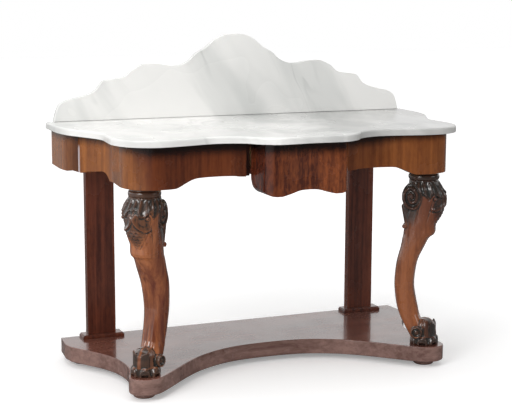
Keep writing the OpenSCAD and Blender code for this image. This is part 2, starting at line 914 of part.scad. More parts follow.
// Turned bun foot with its spigot
module bun_foot(place) {
    r = foot_d / 2;
    translate([place[0], place[1], 0])
        rotate_extrude()
            polygon([
                [0, 0], [0.73 * r, 0], [0.91 * r, foot_h * 0.18], [r, foot_h * 0.45],
                [0.94 * r, foot_h * 0.75], [0.76 * r, foot_h],
                [spigot_d / 2, foot_h], [spigot_d / 2, foot_h + spigot_up],
                [0, foot_h + spigot_up]
            ]);
}

module foot_front_left() { color(dark_wood) bun_foot(foot_places[0]); }
module foot_front_right() { color(dark_wood) bun_foot(foot_places[1]); }
module foot_rear_left() { color(dark_wood) bun_foot(foot_places[2]); }
module foot_rear_right() { color(dark_wood) bun_foot(foot_places[3]); }

marble_top();
marble_splashback();
splashback_pins();
frieze_left();
frieze_right();
side_frieze_left();
side_frieze_right();
back_rail();
corner_block_left();
corner_block_right();
drawer_stile_left();
drawer_stile_right();
drawer_rail();
top_rail();
drawer_runner_left();
drawer_runner_right();
bearer_left();
bearer_right();
glue_blocks();
drawer_front();
drawer_side_left();
drawer_side_right();
drawer_back();
drawer_bottom();
leg_collar_left();
leg_collar_right();
front_leg_left();
front_leg_right();
rear_post_left();
rear_post_right();
post_shoe_left();
post_shoe_right();
post_screws();
plinth();
foot_front_left();
foot_front_right();
foot_rear_left();
foot_rear_right();
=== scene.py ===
"""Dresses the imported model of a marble-topped washstand: mahogany, white marble, carved legs."""
import math

import bmesh
import bpy
import numpy as np
from bpy.props import FloatProperty, FloatVectorProperty, IntProperty, PointerProperty
from mathutils import Matrix, Vector, noise


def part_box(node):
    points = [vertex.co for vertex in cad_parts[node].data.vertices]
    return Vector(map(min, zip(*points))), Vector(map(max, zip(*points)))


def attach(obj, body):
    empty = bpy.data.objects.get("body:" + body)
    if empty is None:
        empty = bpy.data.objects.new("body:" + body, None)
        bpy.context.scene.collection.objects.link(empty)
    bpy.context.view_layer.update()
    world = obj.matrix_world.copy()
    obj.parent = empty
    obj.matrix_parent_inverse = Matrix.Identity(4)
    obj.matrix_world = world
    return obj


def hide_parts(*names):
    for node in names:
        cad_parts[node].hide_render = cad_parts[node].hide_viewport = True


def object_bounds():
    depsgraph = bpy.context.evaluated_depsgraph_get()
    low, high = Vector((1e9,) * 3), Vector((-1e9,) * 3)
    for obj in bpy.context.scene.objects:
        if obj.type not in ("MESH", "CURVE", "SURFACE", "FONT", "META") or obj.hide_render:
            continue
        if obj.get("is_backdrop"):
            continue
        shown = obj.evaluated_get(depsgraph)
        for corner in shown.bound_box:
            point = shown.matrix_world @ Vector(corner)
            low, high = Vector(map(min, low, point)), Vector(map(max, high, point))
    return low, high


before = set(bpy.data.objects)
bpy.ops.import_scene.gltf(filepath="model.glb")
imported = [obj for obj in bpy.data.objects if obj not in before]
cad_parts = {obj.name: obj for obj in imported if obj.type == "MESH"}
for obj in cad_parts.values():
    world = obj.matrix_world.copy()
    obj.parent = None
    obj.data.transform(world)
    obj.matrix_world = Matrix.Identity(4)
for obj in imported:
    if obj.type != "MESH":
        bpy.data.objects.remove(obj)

bl_info = {
    "name": "Washstand with a marble top",
    "version": (1, 0, 0),
    "blender": (4, 5, 0),
    "location": "3D Viewport > Sidebar > Washstand",
    "description": "Builds the finished pieces of a marble-topped washstand round its solid model",
    "category": "Add Mesh",
}

# Places of the solids that the finished pieces keep to
SLAB_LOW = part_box("marble_top")[0]
PLINTH_LOW, PLINTH_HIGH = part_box("plinth")
COLLAR_LOW, COLLAR_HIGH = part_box("leg_collar_right")
FOOT_LOW, FOOT_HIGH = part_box("foot_front_right")
LEG_X = (FOOT_LOW.x + FOOT_HIGH.x) / 2
LEG_Y = (FOOT_LOW.y + FOOT_HIGH.y) / 2
JOINT_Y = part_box("side_frieze_right")[0].y
# Pine in front of the stiles' back face gets painted shade
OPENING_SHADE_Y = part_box("drawer_stile_right")[1].y
LEG_TURN = math.radians(54)


# ---- settings ----

def colour(name, value, description):
    return FloatVectorProperty(
        name=name, description=description, subtype="COLOR", size=3, min=0, max=1, default=value)


def length(name, value, description):
    return FloatProperty(name=name, description=description, unit="LENGTH", default=value)


def level(name, value, description):
    return FloatProperty(name=name, description=description, subtype="FACTOR", default=value)


def power(name, value, description):
    return FloatProperty(name=name, description=description, subtype="POWER", default=value)


class MarbleSettings(bpy.types.PropertyGroup):
    ground: colour("Ground", (0.85, 0.845, 0.825), "Colour of the marble between its veins")
    cloud: colour("Cloud", (0.60, 0.61, 0.595), "Colour of the soft clouds in the marble")
    vein: colour("Vein", (0.42, 0.43, 0.42), "Colour of the thin veins")
    # Painted shade at the top's right, as a share of the marble's colours there
    top_right_shade: level("Right of the top", 0.60, "Share of the marble's colours at the top's right")
    splash_right: level(
        "Right of the splashback", 1.07, "Share of the marble's colours at the splashback's right")
    edge: length("Edge", 0.006, "Rounding of the upper edge of the top")
    arris: length("Arris", 0.002, "Rounding of the other edges")


class WoodSettings(bpy.types.PropertyGroup):
    frieze_light: colour("Frieze light", (0.350, 0.120, 0.028), "Lighter figure of the frieze veneer")
    frieze_dark: colour("Frieze dark", (0.140, 0.040, 0.011), "Darker figure of the frieze veneer")
    drawer_light: colour("Drawer light", (0.270, 0.071, 0.021), "Lighter figure of the drawer veneer")
    drawer_dark: colour("Drawer dark", (0.070, 0.017, 0.009), "Darker figure of the drawer veneer")
    leg_light: colour("Leg light", (0.38, 0.128, 0.046), "Polished wood of the front legs")
    leg_dark: colour("Leg dark", (0.110, 0.024, 0.011), "Darker streaks of the front legs")
    carved: colour("Carved", (0.020, 0.022, 0.020), "Old polish that fills the carving")
    post_light: colour("Post light", (0.200, 0.053, 0.026), "Lighter streaks of the rear posts")
    post_dark: colour("Post dark", (0.055, 0.015, 0.010), "Darker streaks of the rear posts")
    plinth_light: colour("Platform light", (0.290, 0.175, 0.148), "Lighter streaks of the platform")
    plinth_dark: colour("Platform dark", (0.140, 0.074, 0.062), "Darker streaks of the platform")
    # Painted shade on the platform's top, as the share of its colours kept there
    plinth_top_shade: colour("Platform top", (0.74, 0.48, 0.40), "Share of those colours kept on its top")
    pine_light: colour("Pine light", (0.52, 0.36, 0.20), "Lighter rings of the inner wood")
    pine_dark: colour("Pine dark", (0.33, 0.20, 0.10), "Darker rings of the inner wood")
    arris: length("Arris", 0.0012, "Rounding of the worn edges of the wood")
    carve_voxel: length("Carving mesh", 0.0013, "Size of the mesh that the carving is cut in")
    turn_sides: IntProperty(name="Turn sides", description="Sides of a turned piece", default=64)


class StageSettings(bpy.types.PropertyGroup):
    floor: colour("Floor", (0.93, 0.93, 0.93), "Colour of the floor")
    ambient: level("Ambient", 0.43, "Level of the plain light all round")
    dim: level("Dim side", 0.10, "Level of what polished faces mirror in front")
    mirrored: level(
        "Mirrored floor", 0.18, "Share of the floor's light that polished faces mirror")
    far_glow: level("Far glow", 0.64, "White added to the floor away from the piece")
    near_glow: level("Near glow", 0.28, "White added to the floor round the piece")
    near: length("Near", 0.7, "Radius of the floor round the piece")
    far: length("Far", 2.2, "Radius at which the floor is plain white")
    key: power("Key", 74, "Power of the large soft lamp at the left")
    fill: power("Fill", 13, "Power of the soft lamp at the right")
    above: power("Above", 42, "Power of the soft lamp overhead")


SETTINGS = {"marble": MarbleSettings, "wood": WoodSettings, "stage": StageSettings}


def settings(kind):
    """The values that a user may change for the marble, the wood or the stage."""
    return getattr(bpy.context.scene, f"washstand_{kind}")


# ---- selecting and copying ----

SAME_PLACE = 1e-5


def deselect_all():
    for other in bpy.context.selected_objects:
        other.select_set(False)


def activate(obj):
    deselect_all()
    obj.select_set(True)
    bpy.context.view_layer.objects.active = obj


def edit(obj, mode="VERT", everything=False):
    """Opens a piece in edit mode, with everything or nothing selected."""
    activate(obj)
    bpy.ops.object.mode_set(mode="EDIT")
    bpy.ops.mesh.select_mode(type=mode)
    bpy.ops.mesh.select_all(action="SELECT" if everything else "DESELECT")


def leave_edit():
    bpy.ops.object.mode_set(mode="OBJECT")


def pick(obj, kind, axis, place):
    """Selects the edges or faces of a piece in edit mode that lie in one plane."""
    shape = bmesh.from_edit_mesh(obj.data)
    for element in getattr(shape, kind):
        if all(abs(vert.co[axis] - place) < SAME_PLACE for vert in element.verts):
            element.select_set(True)
    shape.select_flush_mode()
    bmesh.update_edit_mesh(obj.data)


def tidy_normals(obj, merge=1e-6):
    edit(obj, everything=True)
    bpy.ops.mesh.remove_doubles(threshold=merge)
    bpy.ops.mesh.normals_make_consistent(inside=False)
    leave_edit()


def apply_modifier(obj, kind, **values):
    activate(obj)
    modifier = obj.modifiers.new(kind.title(), kind)
    for name, value in values.items():
        setattr(modifier, name, value)
    bpy.ops.object.modifier_apply(modifier=modifier.name)


def node_copy(node):
    """Copy of a node's mesh as a new piece, with its loose triangles merged."""
    title = node.title()
    piece = bpy.data.objects.new(title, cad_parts[node].data.copy())
    piece.data.name = title
    piece.data.materials.clear()
    bpy.context.collection.objects.link(piece)
    activate(piece)
    if piece.data.has_custom_normals:
        bpy.ops.mesh.customdata_custom_splitnormals_clear()
    tidy_normals(piece, SAME_PLACE)
    return piece


def mesh_copy(obj, title, place):
    """Copy of a piece at another place; a mirrored one keeps its faces outwards."""
    piece = bpy.data.objects.new(title, obj.data.copy())
    piece.data.name = title
    piece.data.transform(place)
    if place.determinant() < 0:
        piece.data.flip_normals()
    bpy.context.collection.objects.link(piece)
    return piece


def just_added(title):
    """Names the primitive just added and keeps its place in its mesh."""
    piece = bpy.context.object
    piece.name = piece.data.name = title
    bpy.ops.object.transform_apply(location=True, rotation=True, scale=True)
    return piece


def settle(piece, finish, node, body="root"):
    """Gives a finished piece its material and its body, and hides the node that it stands for."""
    piece.data.materials.clear()
    piece.data.materials.append(finish)
    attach(piece, body)
    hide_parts(node)


# ---- shaping ----

SHARP_TURN = 38      # degrees between two faces from which their edge is worn round
FLAT_TURN = 0.6      # degrees up to which two faces are one
CURVED = 50          # degrees up to which a turned or curved piece is shaded smooth
RING_TOLERANCE = 2e-4


def smooth_faces(obj, angle=35):
    activate(obj)
    bpy.ops.object.shade_smooth_by_angle(angle=math.radians(angle))
    apply_modifier(obj, "WEIGHTED_NORMAL", keep_sharp=True, weight=60)


def ease_edges(obj, width, segments=2):
    """Rounds the sharp edges of a piece, as wear and polish do."""
    edit(obj, everything=True)
    bpy.ops.mesh.dissolve_limited(angle_limit=math.radians(FLAT_TURN))
    leave_edit()
    apply_modifier(
        obj, "BEVEL", width=width, segments=segments, limit_method="ANGLE",
        angle_limit=math.radians(SHARP_TURN), use_clamp_overlap=True)


def eased(node, width, segments=2, shape=None):
    """A node's own form with worn edges. shape(piece) may change the form first."""
    piece = node_copy(node)
    if shape:
        shape(piece)
    ease_edges(piece, width, segments)
    smooth_faces(piece)
    return piece


def border_neighbours(shape, axis, place):
    """For each corner on the rim of the faces in one plane, the corners next to it on the rim."""
    flat = {face for face in shape.faces
            if all(abs(v.co[axis] - place) < RING_TOLERANCE for v in face.verts)}
    after = {}
    for rim in shape.edges:
        if sum(face in flat for face in rim.link_faces) == 1:
            for v, w in (rim.verts, reversed(rim.verts)):
                after.setdefault(v, []).append(w)
    return after


def node_ring(node, axis, place):
    """Longest outline of the faces of a node that lie in one plane."""
    shape = bmesh.new()
    shape.from_mesh(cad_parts[node].data)
    bmesh.ops.remove_doubles(shape, verts=shape.verts, dist=SAME_PLACE)
    after = border_neighbours(shape, axis, place)
    rings, used = [], set()
    for start in after:
        ring, onward = [], [start]
        while onward := [v for v in onward if v not in used]:
            used.add(onward[0])
            ring.append(onward[0].co.copy())
            onward = after[onward[0]]
        rings.append(ring)
    shape.free()
    if not rings:
        raise RuntimeError(f"{node} has no faces at {place}")
    return max(rings, key=lambda r: sum((a - b).length for a, b in zip(r, r[1:])))


def rounded_ring(points, corner=40, steps=3):
    """The same outline with its gentle turns drawn as curves and its corners kept."""
    count = len(points)
    sides = [points[(i + 1) % count] - points[i] for i in range(count)]
    sharp = [sides[i - 1].angle(sides[i]) > math.radians(corner) for i in range(count)]

    def slope(i, side):
        if sharp[i]:
            return sides[side].normalized()
        before, after = sides[i - 1], sides[i]
        return (before / before.length ** 2 + after / after.length ** 2).normalized()

    ring = []
    for i in range(count):
        a, b, reach = points[i], points[(i + 1) % count], sides[i].length
        m, n = slope(i, i) * reach, slope((i + 1) % count, i) * reach
        for s in range(steps):
            t = s / steps
            ring.append(
                a * (2 * t ** 3 - 3 * t ** 2 + 1) + m * (t ** 3 - 2 * t ** 2 + t)
                + b * (3 * t ** 2 - 2 * t ** 3) + n * (t ** 3 - t ** 2))
    return ring


def inside(ring, low, high):
    """The same outline, held inside a box."""
    return [Vector([min(max(p[i], low[i]), high[i]) for i in range(3)]) for p in ring]


def plate(title, ring, rise):
    """A flat board with the given outline: a filled circle whose rim is laid on the outline, extruded."""
    deselect_all()
    bpy.ops.mesh.primitive_circle_add(vertices=len(ring), radius=0.5, fill_type="NGON")
    board = just_added(title)
    for vert, point in zip(board.data.vertices, ring):
        vert.co = point
    edit(board, "FACE", everything=True)
    bpy.ops.mesh.extrude_region_move(TRANSFORM_OT_translate={"value": rise})
    bpy.ops.mesh.select_all(action="SELECT")
    bpy.ops.mesh.normals_make_consistent(inside=False)
    leave_edit()
    return board


def curved_board(title, node, axis, rims, held=True):
    """A board as thick as its solid, with the solid's outline drawn as curves, and its rims rounded.
    rims gives the end of the box along the axis, 0 or 1, the rounding and its steps. An outline
    that is held stays inside the solid's box."""
    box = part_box(node)
    ring = rounded_ring(node_ring(node, axis, box[0][axis]))
    if held:
        ring = inside(ring, *box)
    rise = [box[1][axis] - box[0][axis] if part == axis else 0 for part in range(3)]
    board = plate(title, ring, rise)
    for end, width, segments in rims:
        edit(board, "EDGE")
        pick(board, "edges", axis, box[end][axis])
        bpy.ops.mesh.bevel(offset=width, segments=segments, profile=0.5, affect="EDGES")
        leave_edit()
    smooth_faces(board, CURVED)
    return board


def bead(inner, swell, middle, half, reach, turn):
    """Half round of a turned profile, in shares of the piece's radius and height."""
    angles = [math.radians(a) for a in range(-reach, reach + 1, turn)]
    return [(inner + swell * math.cos(a), middle + half * math.sin(a)) for a in angles]


def turned(title, place, profile, sides, way=Vector((0, 0, 1))):
    """A turned piece: a disc extruded along the way and widened or narrowed from step to step."""
    radius, height = profile[0]
    deselect_all()
    bpy.ops.mesh.primitive_circle_add(
        vertices=sides, radius=radius, fill_type="NGON", location=place + way * height,
        rotation=(math.pi / 2 * abs(way.y), 0, 0))
    piece = just_added(title)
    edit(piece, "FACE", everything=True)
    for wide, high in profile[1:]:
        bpy.ops.mesh.extrude_region_move(TRANSFORM_OT_translate={"value": way * (high - height)})
        bpy.ops.transform.resize(
            value=[1 if part else wide / radius for part in way],
            center_override=place + way * high)
        radius, height = wide, high
    leave_edit()
    tidy_normals(piece)
    return piece


# ---- materials ----

class Wiring:
    """Adds nodes to a tree from left to right and joins them."""

    def __init__(self, tree):
        self.tree = tree
        self.column = 0

    def add(self, kind, inputs=None, **values):
        node = self.tree.nodes.new(kind)
        node.location = (self.column * 190, 0)
        self.column += 1
        for name, value in values.items():
            setattr(node, name, value)
        for name, value in (inputs or {}).items():
            self.feed(node, name, value)
        return node

    def feed(self, node, name, value):
        socket = node.inputs[name]
        if isinstance(value, bpy.types.NodeSocket):
            self.tree.links.new(value, socket)
        elif hasattr(value, "__len__") and socket.type == "RGBA" and len(value) == 3:
            socket.default_value = (*value, 1)
        else:
            socket.default_value = value

    def maths(self, operation, a, b=0.0, clamp=False):
        node = self.add("ShaderNodeMath", operation=operation, use_clamp=clamp)
        self.feed(node, 0, a)
        self.feed(node, 1, b)
        return node.outputs[0]

    def times(self, a, b, clamp=False):
        return self.maths("MULTIPLY", a, b, clamp)

    def plus(self, a, b, clamp=False):
        return self.maths("ADD", a, b, clamp)

    def minus(self, a, b, clamp=False):
        return self.maths("SUBTRACT", a, b, clamp)

    def sway(self, value, width):
        """A value from 0 to 1 made to swing round 0, over the given width in all."""
        return self.times(self.minus(value, 0.5), width)

    def span(self, value, low, high, to_low=0.0, to_high=1.0):
        """Smooth step of a value from one range to another."""
        node = self.add(
            "ShaderNodeMapRange", interpolation_type="SMOOTHSTEP",
            inputs={"Value": value, "From Min": low, "From Max": high,
                    "To Min": to_low, "To Max": to_high})
        return node.outputs["Result"]

    def ends(self, value, left, right):
        """A span at each end of a value, and the larger of the two."""
        return self.maths("MAXIMUM", self.span(value, *left), self.span(value, *right))

    def coordinate(self, vector, axis):
        return self.add("ShaderNodeSeparateXYZ", inputs={"Vector": vector}).outputs[axis]

    def blend(self, factor, a, b, mode="MIX"):
        node = self.add("ShaderNodeMix", data_type="RGBA", blend_type=mode)
        self.feed(node, 0, factor)
        self.feed(node, 6, a)
        self.feed(node, 7, b)
        return node.outputs[2]

    def tint(self, factor, base, tone):
        """The base multiplied by a tone, as far as the factor says."""
        return self.blend(factor, base, tone, "MULTIPLY")

    def noise(self, vector, scale, detail=4, rough=0.55, warp=0.0):
        node = self.add(
            "ShaderNodeTexNoise",
            inputs={"Vector": vector, "Scale": scale, "Detail": detail,
                    "Roughness": rough, "Distortion": warp})
        return node.outputs["Fac"]

    def stretch(self, vector, scale, turn=(0, 0, 0), shift=(0, 0, 0)):
        node = self.add(
            "ShaderNodeMapping",
            inputs={"Vector": vector, "Scale": scale, "Rotation": turn, "Location": shift})
        return node.outputs["Vector"]

    def drawn_noise(self, vector, scale, detail=4, rough=0.55, warp=0.0, shift=(0, 0, 0)):
        """Noise that is as coarse along each axis as its scale there says."""
        return self.noise(
            self.stretch(vector, scale, shift=shift), 1.0, detail, rough, warp)


COLOUR, NUMBER, VECTOR = "NodeSocketColor", "NodeSocketFloat", "NodeSocketVector"


def shader_group(name, inputs, outputs):
    group = bpy.data.node_groups.new(name, "ShaderNodeTree")
    for title, kind, value in inputs:
        socket = group.interface.new_socket(title, in_out="INPUT", socket_type=kind)
        if value is not None:
            socket.default_value = (*value, 1) if kind == COLOUR else value
    for title, kind in outputs:
        group.interface.new_socket(title, in_out="OUTPUT", socket_type=kind)
    wires = Wiring(group)
    return group, wires, wires.add("NodeGroupInput"), group.nodes.new("NodeGroupOutput")


# Scale along X, Y and Z, detail, roughness and warp of each noise in the wood
WOOD_NOISES = (
    ((7, 7, 0.9), 3, 0.5, 0.8),
    ((60, 60, 1.6), 4, 0.6, 0.3),
    ((420, 420, 9), 3, 0.6),
    ((120, 120, 36), 3, 0.6, 0.6),
    ((9, 9, 9), 4, 0.6),
)
PORE_TONE = (0.45, 0.40, 0.38)
WOOD_ROUGH = (0.16, 0.34)


def wood_group():
    """Grain along the vector's Z: broad figure, streaks, fine pores and a mottle across them."""
    if "Wood" in bpy.data.node_groups:
        return bpy.data.node_groups["Wood"]
    group, wires, given, out = shader_group(
        "Wood",
        [("Vector", VECTOR, None), ("Light", COLOUR, (0.3, 0.12, 0.04)),
         ("Dark", COLOUR, (0.1, 0.03, 0.01)), ("Figure", NUMBER, 0.5), ("Mottle", NUMBER, 0.3),
         ("Pores", NUMBER, 0.4)],
        [("Color", COLOUR), ("Roughness", NUMBER), ("Height", NUMBER)])
    vector = given.outputs["Vector"]
    broad, streak, fine, mottle, wear = (wires.drawn_noise(vector, *look) for look in WOOD_NOISES)
    figure = wires.times(wires.span(broad, 0.35, 0.65), given.outputs["Figure"])
    lines = wires.times(wires.span(streak, 0.36, 0.66), 0.5)
    cross = wires.sway(wires.span(mottle, 0.3, 0.7), given.outputs["Mottle"])
    amount = wires.plus(wires.plus(figure, lines), cross, clamp=True)
    body = wires.blend(amount, given.outputs["Dark"], given.outputs["Light"])
    height = wires.span(fine, 0.30, 0.46)
    pores = wires.times(wires.minus(1.0, height), given.outputs["Pores"])
    wires.feed(out, "Color", wires.tint(pores, body, PORE_TONE))
    wires.feed(out, "Roughness", wires.span(wear, 0.25, 0.8, *WOOD_ROUGH))
    wires.feed(out, "Height", height)
    return group


def grime_group():
    """Old dark polish: fills what the mask marks and gives it a harder gloss."""
    if "Grime" in bpy.data.node_groups:
        return bpy.data.node_groups["Grime"]
    group, wires, given, out = shader_group(
        "Grime",
        [("Vector", VECTOR, None), ("Color", COLOUR, (0.5, 0.5, 0.5)),
         ("Grime", COLOUR, (0.02, 0.015, 0.012)), ("Mask", NUMBER, 0.0),
         ("Roughness", NUMBER, 0.3)],
        [("Color", COLOUR), ("Roughness", NUMBER)])
    patch = wires.drawn_noise(given.outputs["Vector"], (38, 38, 38), 5, 0.65)
    mask = wires.times(given.outputs["Mask"], wires.span(patch, 0.2, 0.7, 0.84, 1.0), clamp=True)
    wires.feed(out, "Color", wires.blend(mask, given.outputs["Color"], given.outputs["Grime"]))
    wires.feed(out, "Roughness", wires.minus(
        given.outputs["Roughness"], wires.times(mask, 0.04), clamp=True))
    return group


def new_material(name):
    material = bpy.data.materials.new(name)
    material.use_nodes = True
    material.node_tree.nodes.clear()
    wires = Wiring(material.node_tree)
    out = wires.add("ShaderNodeOutputMaterial")
    shader = wires.add("ShaderNodeBsdfPrincipled")
    wires.tree.links.new(shader.outputs["BSDF"], out.inputs["Surface"])
    place = wires.add("ShaderNodeTexCoord").outputs["Object"]
    return material, wires, shader, place


def bump(wires, shader, height, strength, distance):
    node = wires.add(
        "ShaderNodeBump", inputs={"Height": height, "Strength": strength, "Distance": distance})
    wires.feed(shader, "Normal", node.outputs["Normal"])


ACROSS = (0, math.radians(90), 0)    # turns grain from Z to X
DEPTHWAYS = (math.radians(90), 0, 0)    # turns grain from Z to Y


def wood_material(name, light, dark, figure, mottle, pores, turn=(0, 0, 0), shift=(0, 0, 0),
                  coat=0.6, coat_rough=0.12, tint=None):
    """Polished wood with its grain along Z, or turned. tint(wires, place, base, rough) may change
    its colour and roughness, and coat(wires) may give the weight of its polish."""
    if name in bpy.data.materials:
        return bpy.data.materials[name]
    material, wires, shader, place = new_material(name)
    grain = wires.add("ShaderNodeGroup", node_tree=wood_group(), inputs={
        "Vector": wires.stretch(place, (1, 1, 1), turn, shift),
        "Light": tuple(light), "Dark": tuple(dark),
        "Figure": figure, "Mottle": mottle, "Pores": pores})
    base, rough = grain.outputs["Color"], grain.outputs["Roughness"]
    if tint:
        base, rough = tint(wires, place, base, rough)
    wires.feed(shader, "Base Color", base)
    wires.feed(shader, "Roughness", rough)
    wires.feed(shader, "Coat Weight", coat(wires) if callable(coat) else coat)
    wires.feed(shader, "Coat Roughness", coat_rough)
    wires.feed(shader, "Specular IOR Level", 0.3)
    bump(wires, shader, grain.outputs["Height"], 0.12, 0.0006)
    return material


STREAK_TURN = (0.25, math.radians(30), 0.35)
CLOUD_LOOK = ((5.5, 2.4, 1.3), 3, 0.55, 0.5)
STREAK_LOOK = ((9, 3, 2), 1, 0.5, 0.4)
VEIN_LOOK = ((6.0, 2.4, 1.6), 3, 0.5, 0.9, (3, 1, 2))
MARBLE_RIGHT = (-0.15, 0.45)    # X over which the marble takes on its right-hand level


def marble_material(name, right_shade_and_tone):
    """White marble with soft slanting streaks, and a level of its own towards the right: painted shade on
    the top, a lighter tone on the splashback.
    """
    marble = settings("marble")
    material, wires, shader, place = new_material(name)
    slanted = wires.stretch(place, (1, 1, 1), STREAK_TURN)
    cloud = wires.drawn_noise(slanted, *CLOUD_LOOK)
    streak = wires.drawn_noise(slanted, *STREAK_LOOK)
    soft = wires.times(wires.span(cloud, 0.40, 0.66), 0.55)
    haze = wires.times(wires.span(streak, 0.42, 0.72), 0.26)
    haze = wires.times(haze, wires.span(cloud, 0.3, 0.6, 0.35, 1.0))
    base = wires.blend(
        wires.plus(soft, haze, clamp=True), tuple(marble.ground), tuple(marble.cloud))
    lean = wires.plus(wires.coordinate(place, "X"), wires.sway(cloud, 0.8))
    # Painted shade at the top's right; a lighter tone at the splashback's right
    base = wires.tint(wires.span(lean, *MARBLE_RIGHT), base, (right_shade_and_tone,) * 3)
    line = wires.drawn_noise(slanted, *VEIN_LOOK)
    ridge = wires.maths("ABSOLUTE", wires.minus(line, 0.5))
    vein = wires.span(ridge, 0.0, 0.030, 1.0, 0.0)
    patch = wires.span(wires.noise(slanted, 3.0, 2), 0.48, 0.66)
    amount = wires.times(wires.times(vein, patch), 0.35)
    wires.feed(shader, "Base Color", wires.blend(amount, base, tuple(marble.vein)))
    wires.feed(shader, "Roughness", wires.span(wires.noise(place, 6, 1), 0.3, 0.7, 0.22, 0.30))
    wires.feed(shader, "Specular IOR Level", 0.4)
    bump(wires, shader, wires.noise(place, 9, 1), 0.01, 0.0008)
    return material


BRASS_DARK, BRASS_LIGHT = (0.42, 0.29, 0.11), (0.62, 0.45, 0.20)


def brass_material():
    if "Brass" in bpy.data.materials:
        return bpy.data.materials["Brass"]
    material, wires, shader, place = new_material("Brass")
    tone = wires.drawn_noise(place, (160, 160, 160))
    wires.feed(shader, "Base Color", wires.blend(
        wires.span(tone, 0.3, 0.7), BRASS_DARK, BRASS_LIGHT))
    wires.feed(shader, "Metallic", 1.0)
    wires.feed(shader, "Roughness", wires.span(tone, 0.2, 0.8, 0.5, 0.28))
    bump(wires, shader, tone, 0.1, 0.0004)
    return material


def upward(wires):
    """1 on level faces that look up, 0 on upright ones."""
    normal = wires.add("ShaderNodeNewGeometry").outputs["Normal"]
    return wires.span(wires.coordinate(normal, "Z"), 0.5, 0.9)


# Painted shadow of the marble's overhang: a dark band close under the marble. Its tone, its lower and
# upper ends below the marble, and how much narrower it gets at each end of the front
SHADE, SHADE_LOW, SHADE_HIGH = (0.07, 0.06, 0.09), 0.048, 0.012
SHADE_LEFT, SHADE_RIGHT = (-0.53, -0.44, 0.015, 0.0), (0.18, 0.36, 0.0, 0.017)


def shaded(wires, place, base):
    """Paints the shadow that the marble's overhang casts on the wood close under it."""
    sway = wires.sway(wires.noise(place, 9.0, 2), 0.012)
    narrow = wires.ends(wires.coordinate(place, "X"), SHADE_LEFT, SHADE_RIGHT)
    height = wires.minus(wires.plus(wires.coordinate(place, "Z"), sway), narrow)
    close = wires.span(height, SLAB_LOW.z - SHADE_LOW, SLAB_LOW.z - SHADE_HIGH)
    return wires.tint(wires.times(close, wires.minus(1.0, upward(wires))), base, SHADE)


# Where the frieze's golden ends and its red middle meet along X, and the tone of that middle; the lighter
# ends and darker middle are partly the veneer's own colour and partly painted light and shade
GOLD_LIT_LEFT, GOLD_LIT_RIGHT, RED_SHADE_TONE = (-0.51, -0.44, 1.0, 0.0), (0.08, 0.34, 0.0, 0.55), (0.48, 0.34, 0.40)
# Painted shade on the veneer behind the joint in each side, and a painted highlight down the joint's
# lower end
JOINT_SHADE_REACH, JOINT_SHADE_TONE = (0.0, 0.08, 0.88, 0.0), (0.35, 0.30, 0.28)
JOINT_GLINT_REACH, JOINT_GLINT_HEIGHT, JOINT_GLINT_TONE = (0.0005, 0.0014, 0.8, 0.0), (0.690, 0.706, 1.0, 0.0), (0.62, 0.56, 0.58)


def frieze_material():
    """Veneer with upright grain, redder beside the drawer and more golden over the legs, partly as
    painted light and shade; with painted shadow under the marble, painted shade behind the side joints
    and a painted highlight down each joint.
    """
    wood = settings("wood")

    def tint(wires, place, base, rough):
        sway = wires.sway(wires.noise(place, 6.0, 2), 0.12)
        across = wires.plus(wires.coordinate(place, "X"), sway)
        # Golden ends and darker red middle: partly the veneer's own colour, partly painted light and
        # shade
        red = wires.minus(1.0, wires.ends(across, GOLD_LIT_LEFT, GOLD_LIT_RIGHT))
        # Painted shadow under the marble
        base = shaded(wires, place, wires.tint(red, base, RED_SHADE_TONE))
        # Painted shade just behind each side joint
        behind = wires.minus(wires.coordinate(place, "Y"), JOINT_Y)
        shade_share = wires.times(wires.span(behind, *JOINT_SHADE_REACH), wires.span(behind, 0.0, 0.001))
        base = wires.tint(shade_share, base, JOINT_SHADE_TONE)
        # Painted highlight down the joint's lower end
        gap = wires.span(wires.maths("ABSOLUTE", behind), *JOINT_GLINT_REACH)
        worn = wires.times(gap, wires.span(wires.coordinate(place, "Z"), *JOINT_GLINT_HEIGHT))
        return wires.blend(worn, base, JOINT_GLINT_TONE), rough

    return wood_material(
        "Frieze veneer", wood.frieze_light, wood.frieze_dark, 0.5, 0.25, 0.3, tint=tint)


# Painted shade at the drawer's left: where along X it lies, and its tone
DRAWER_SHADE_REACH, DRAWER_SHADE_TONE = (-0.14, -0.06, 1.0, 0.0), (0.50, 0.42, 0.50)


def drawer_material():
    """Reddish veneer with a mottled figure, with painted shade at the drawer's left and painted shadow
    under the marble.
    """
    wood = settings("wood")

    def tint(wires, place, base, rough):
        # Painted shade at the drawer's left, then the painted shadow under the marble
        shade_share = wires.span(wires.coordinate(place, "X"), *DRAWER_SHADE_REACH)
        return shaded(wires, place, wires.tint(shade_share, base, DRAWER_SHADE_TONE)), rough

    return wood_material(
        "Drawer veneer", wood.drawer_light, wood.drawer_dark, 0.4, 0.6, 0.35,
        shift=(0.7, 0, 0.2), tint=tint)


# Painted shade on the stiles beside the drawer, which makes them nearly black
STILE_SHADE_REACH = (0.20, 0.25, 0.85, 0.0)    # distance from the middle within which the wood is black


def post_material():
    """Dark wood of the posts and shoes, with painted shade that makes it nearly black beside the drawer.
    """
    wood = settings("wood")

    def tint(wires, place, base, rough):
        across = wires.maths("ABSOLUTE", wires.coordinate(place, "X"))
        return wires.tint(wires.span(across, *STILE_SHADE_REACH), base, SHADE), rough

    return wood_material(
        "Dark mahogany", wood.post_light, wood.post_dark, 0.5, 0.2, 0.5, coat=0.5,
        coat_rough=0.18, tint=tint)


PLATFORM_COAT, TOP_COAT = 0.45, 0.22    # weight of the polish, and what its top has more


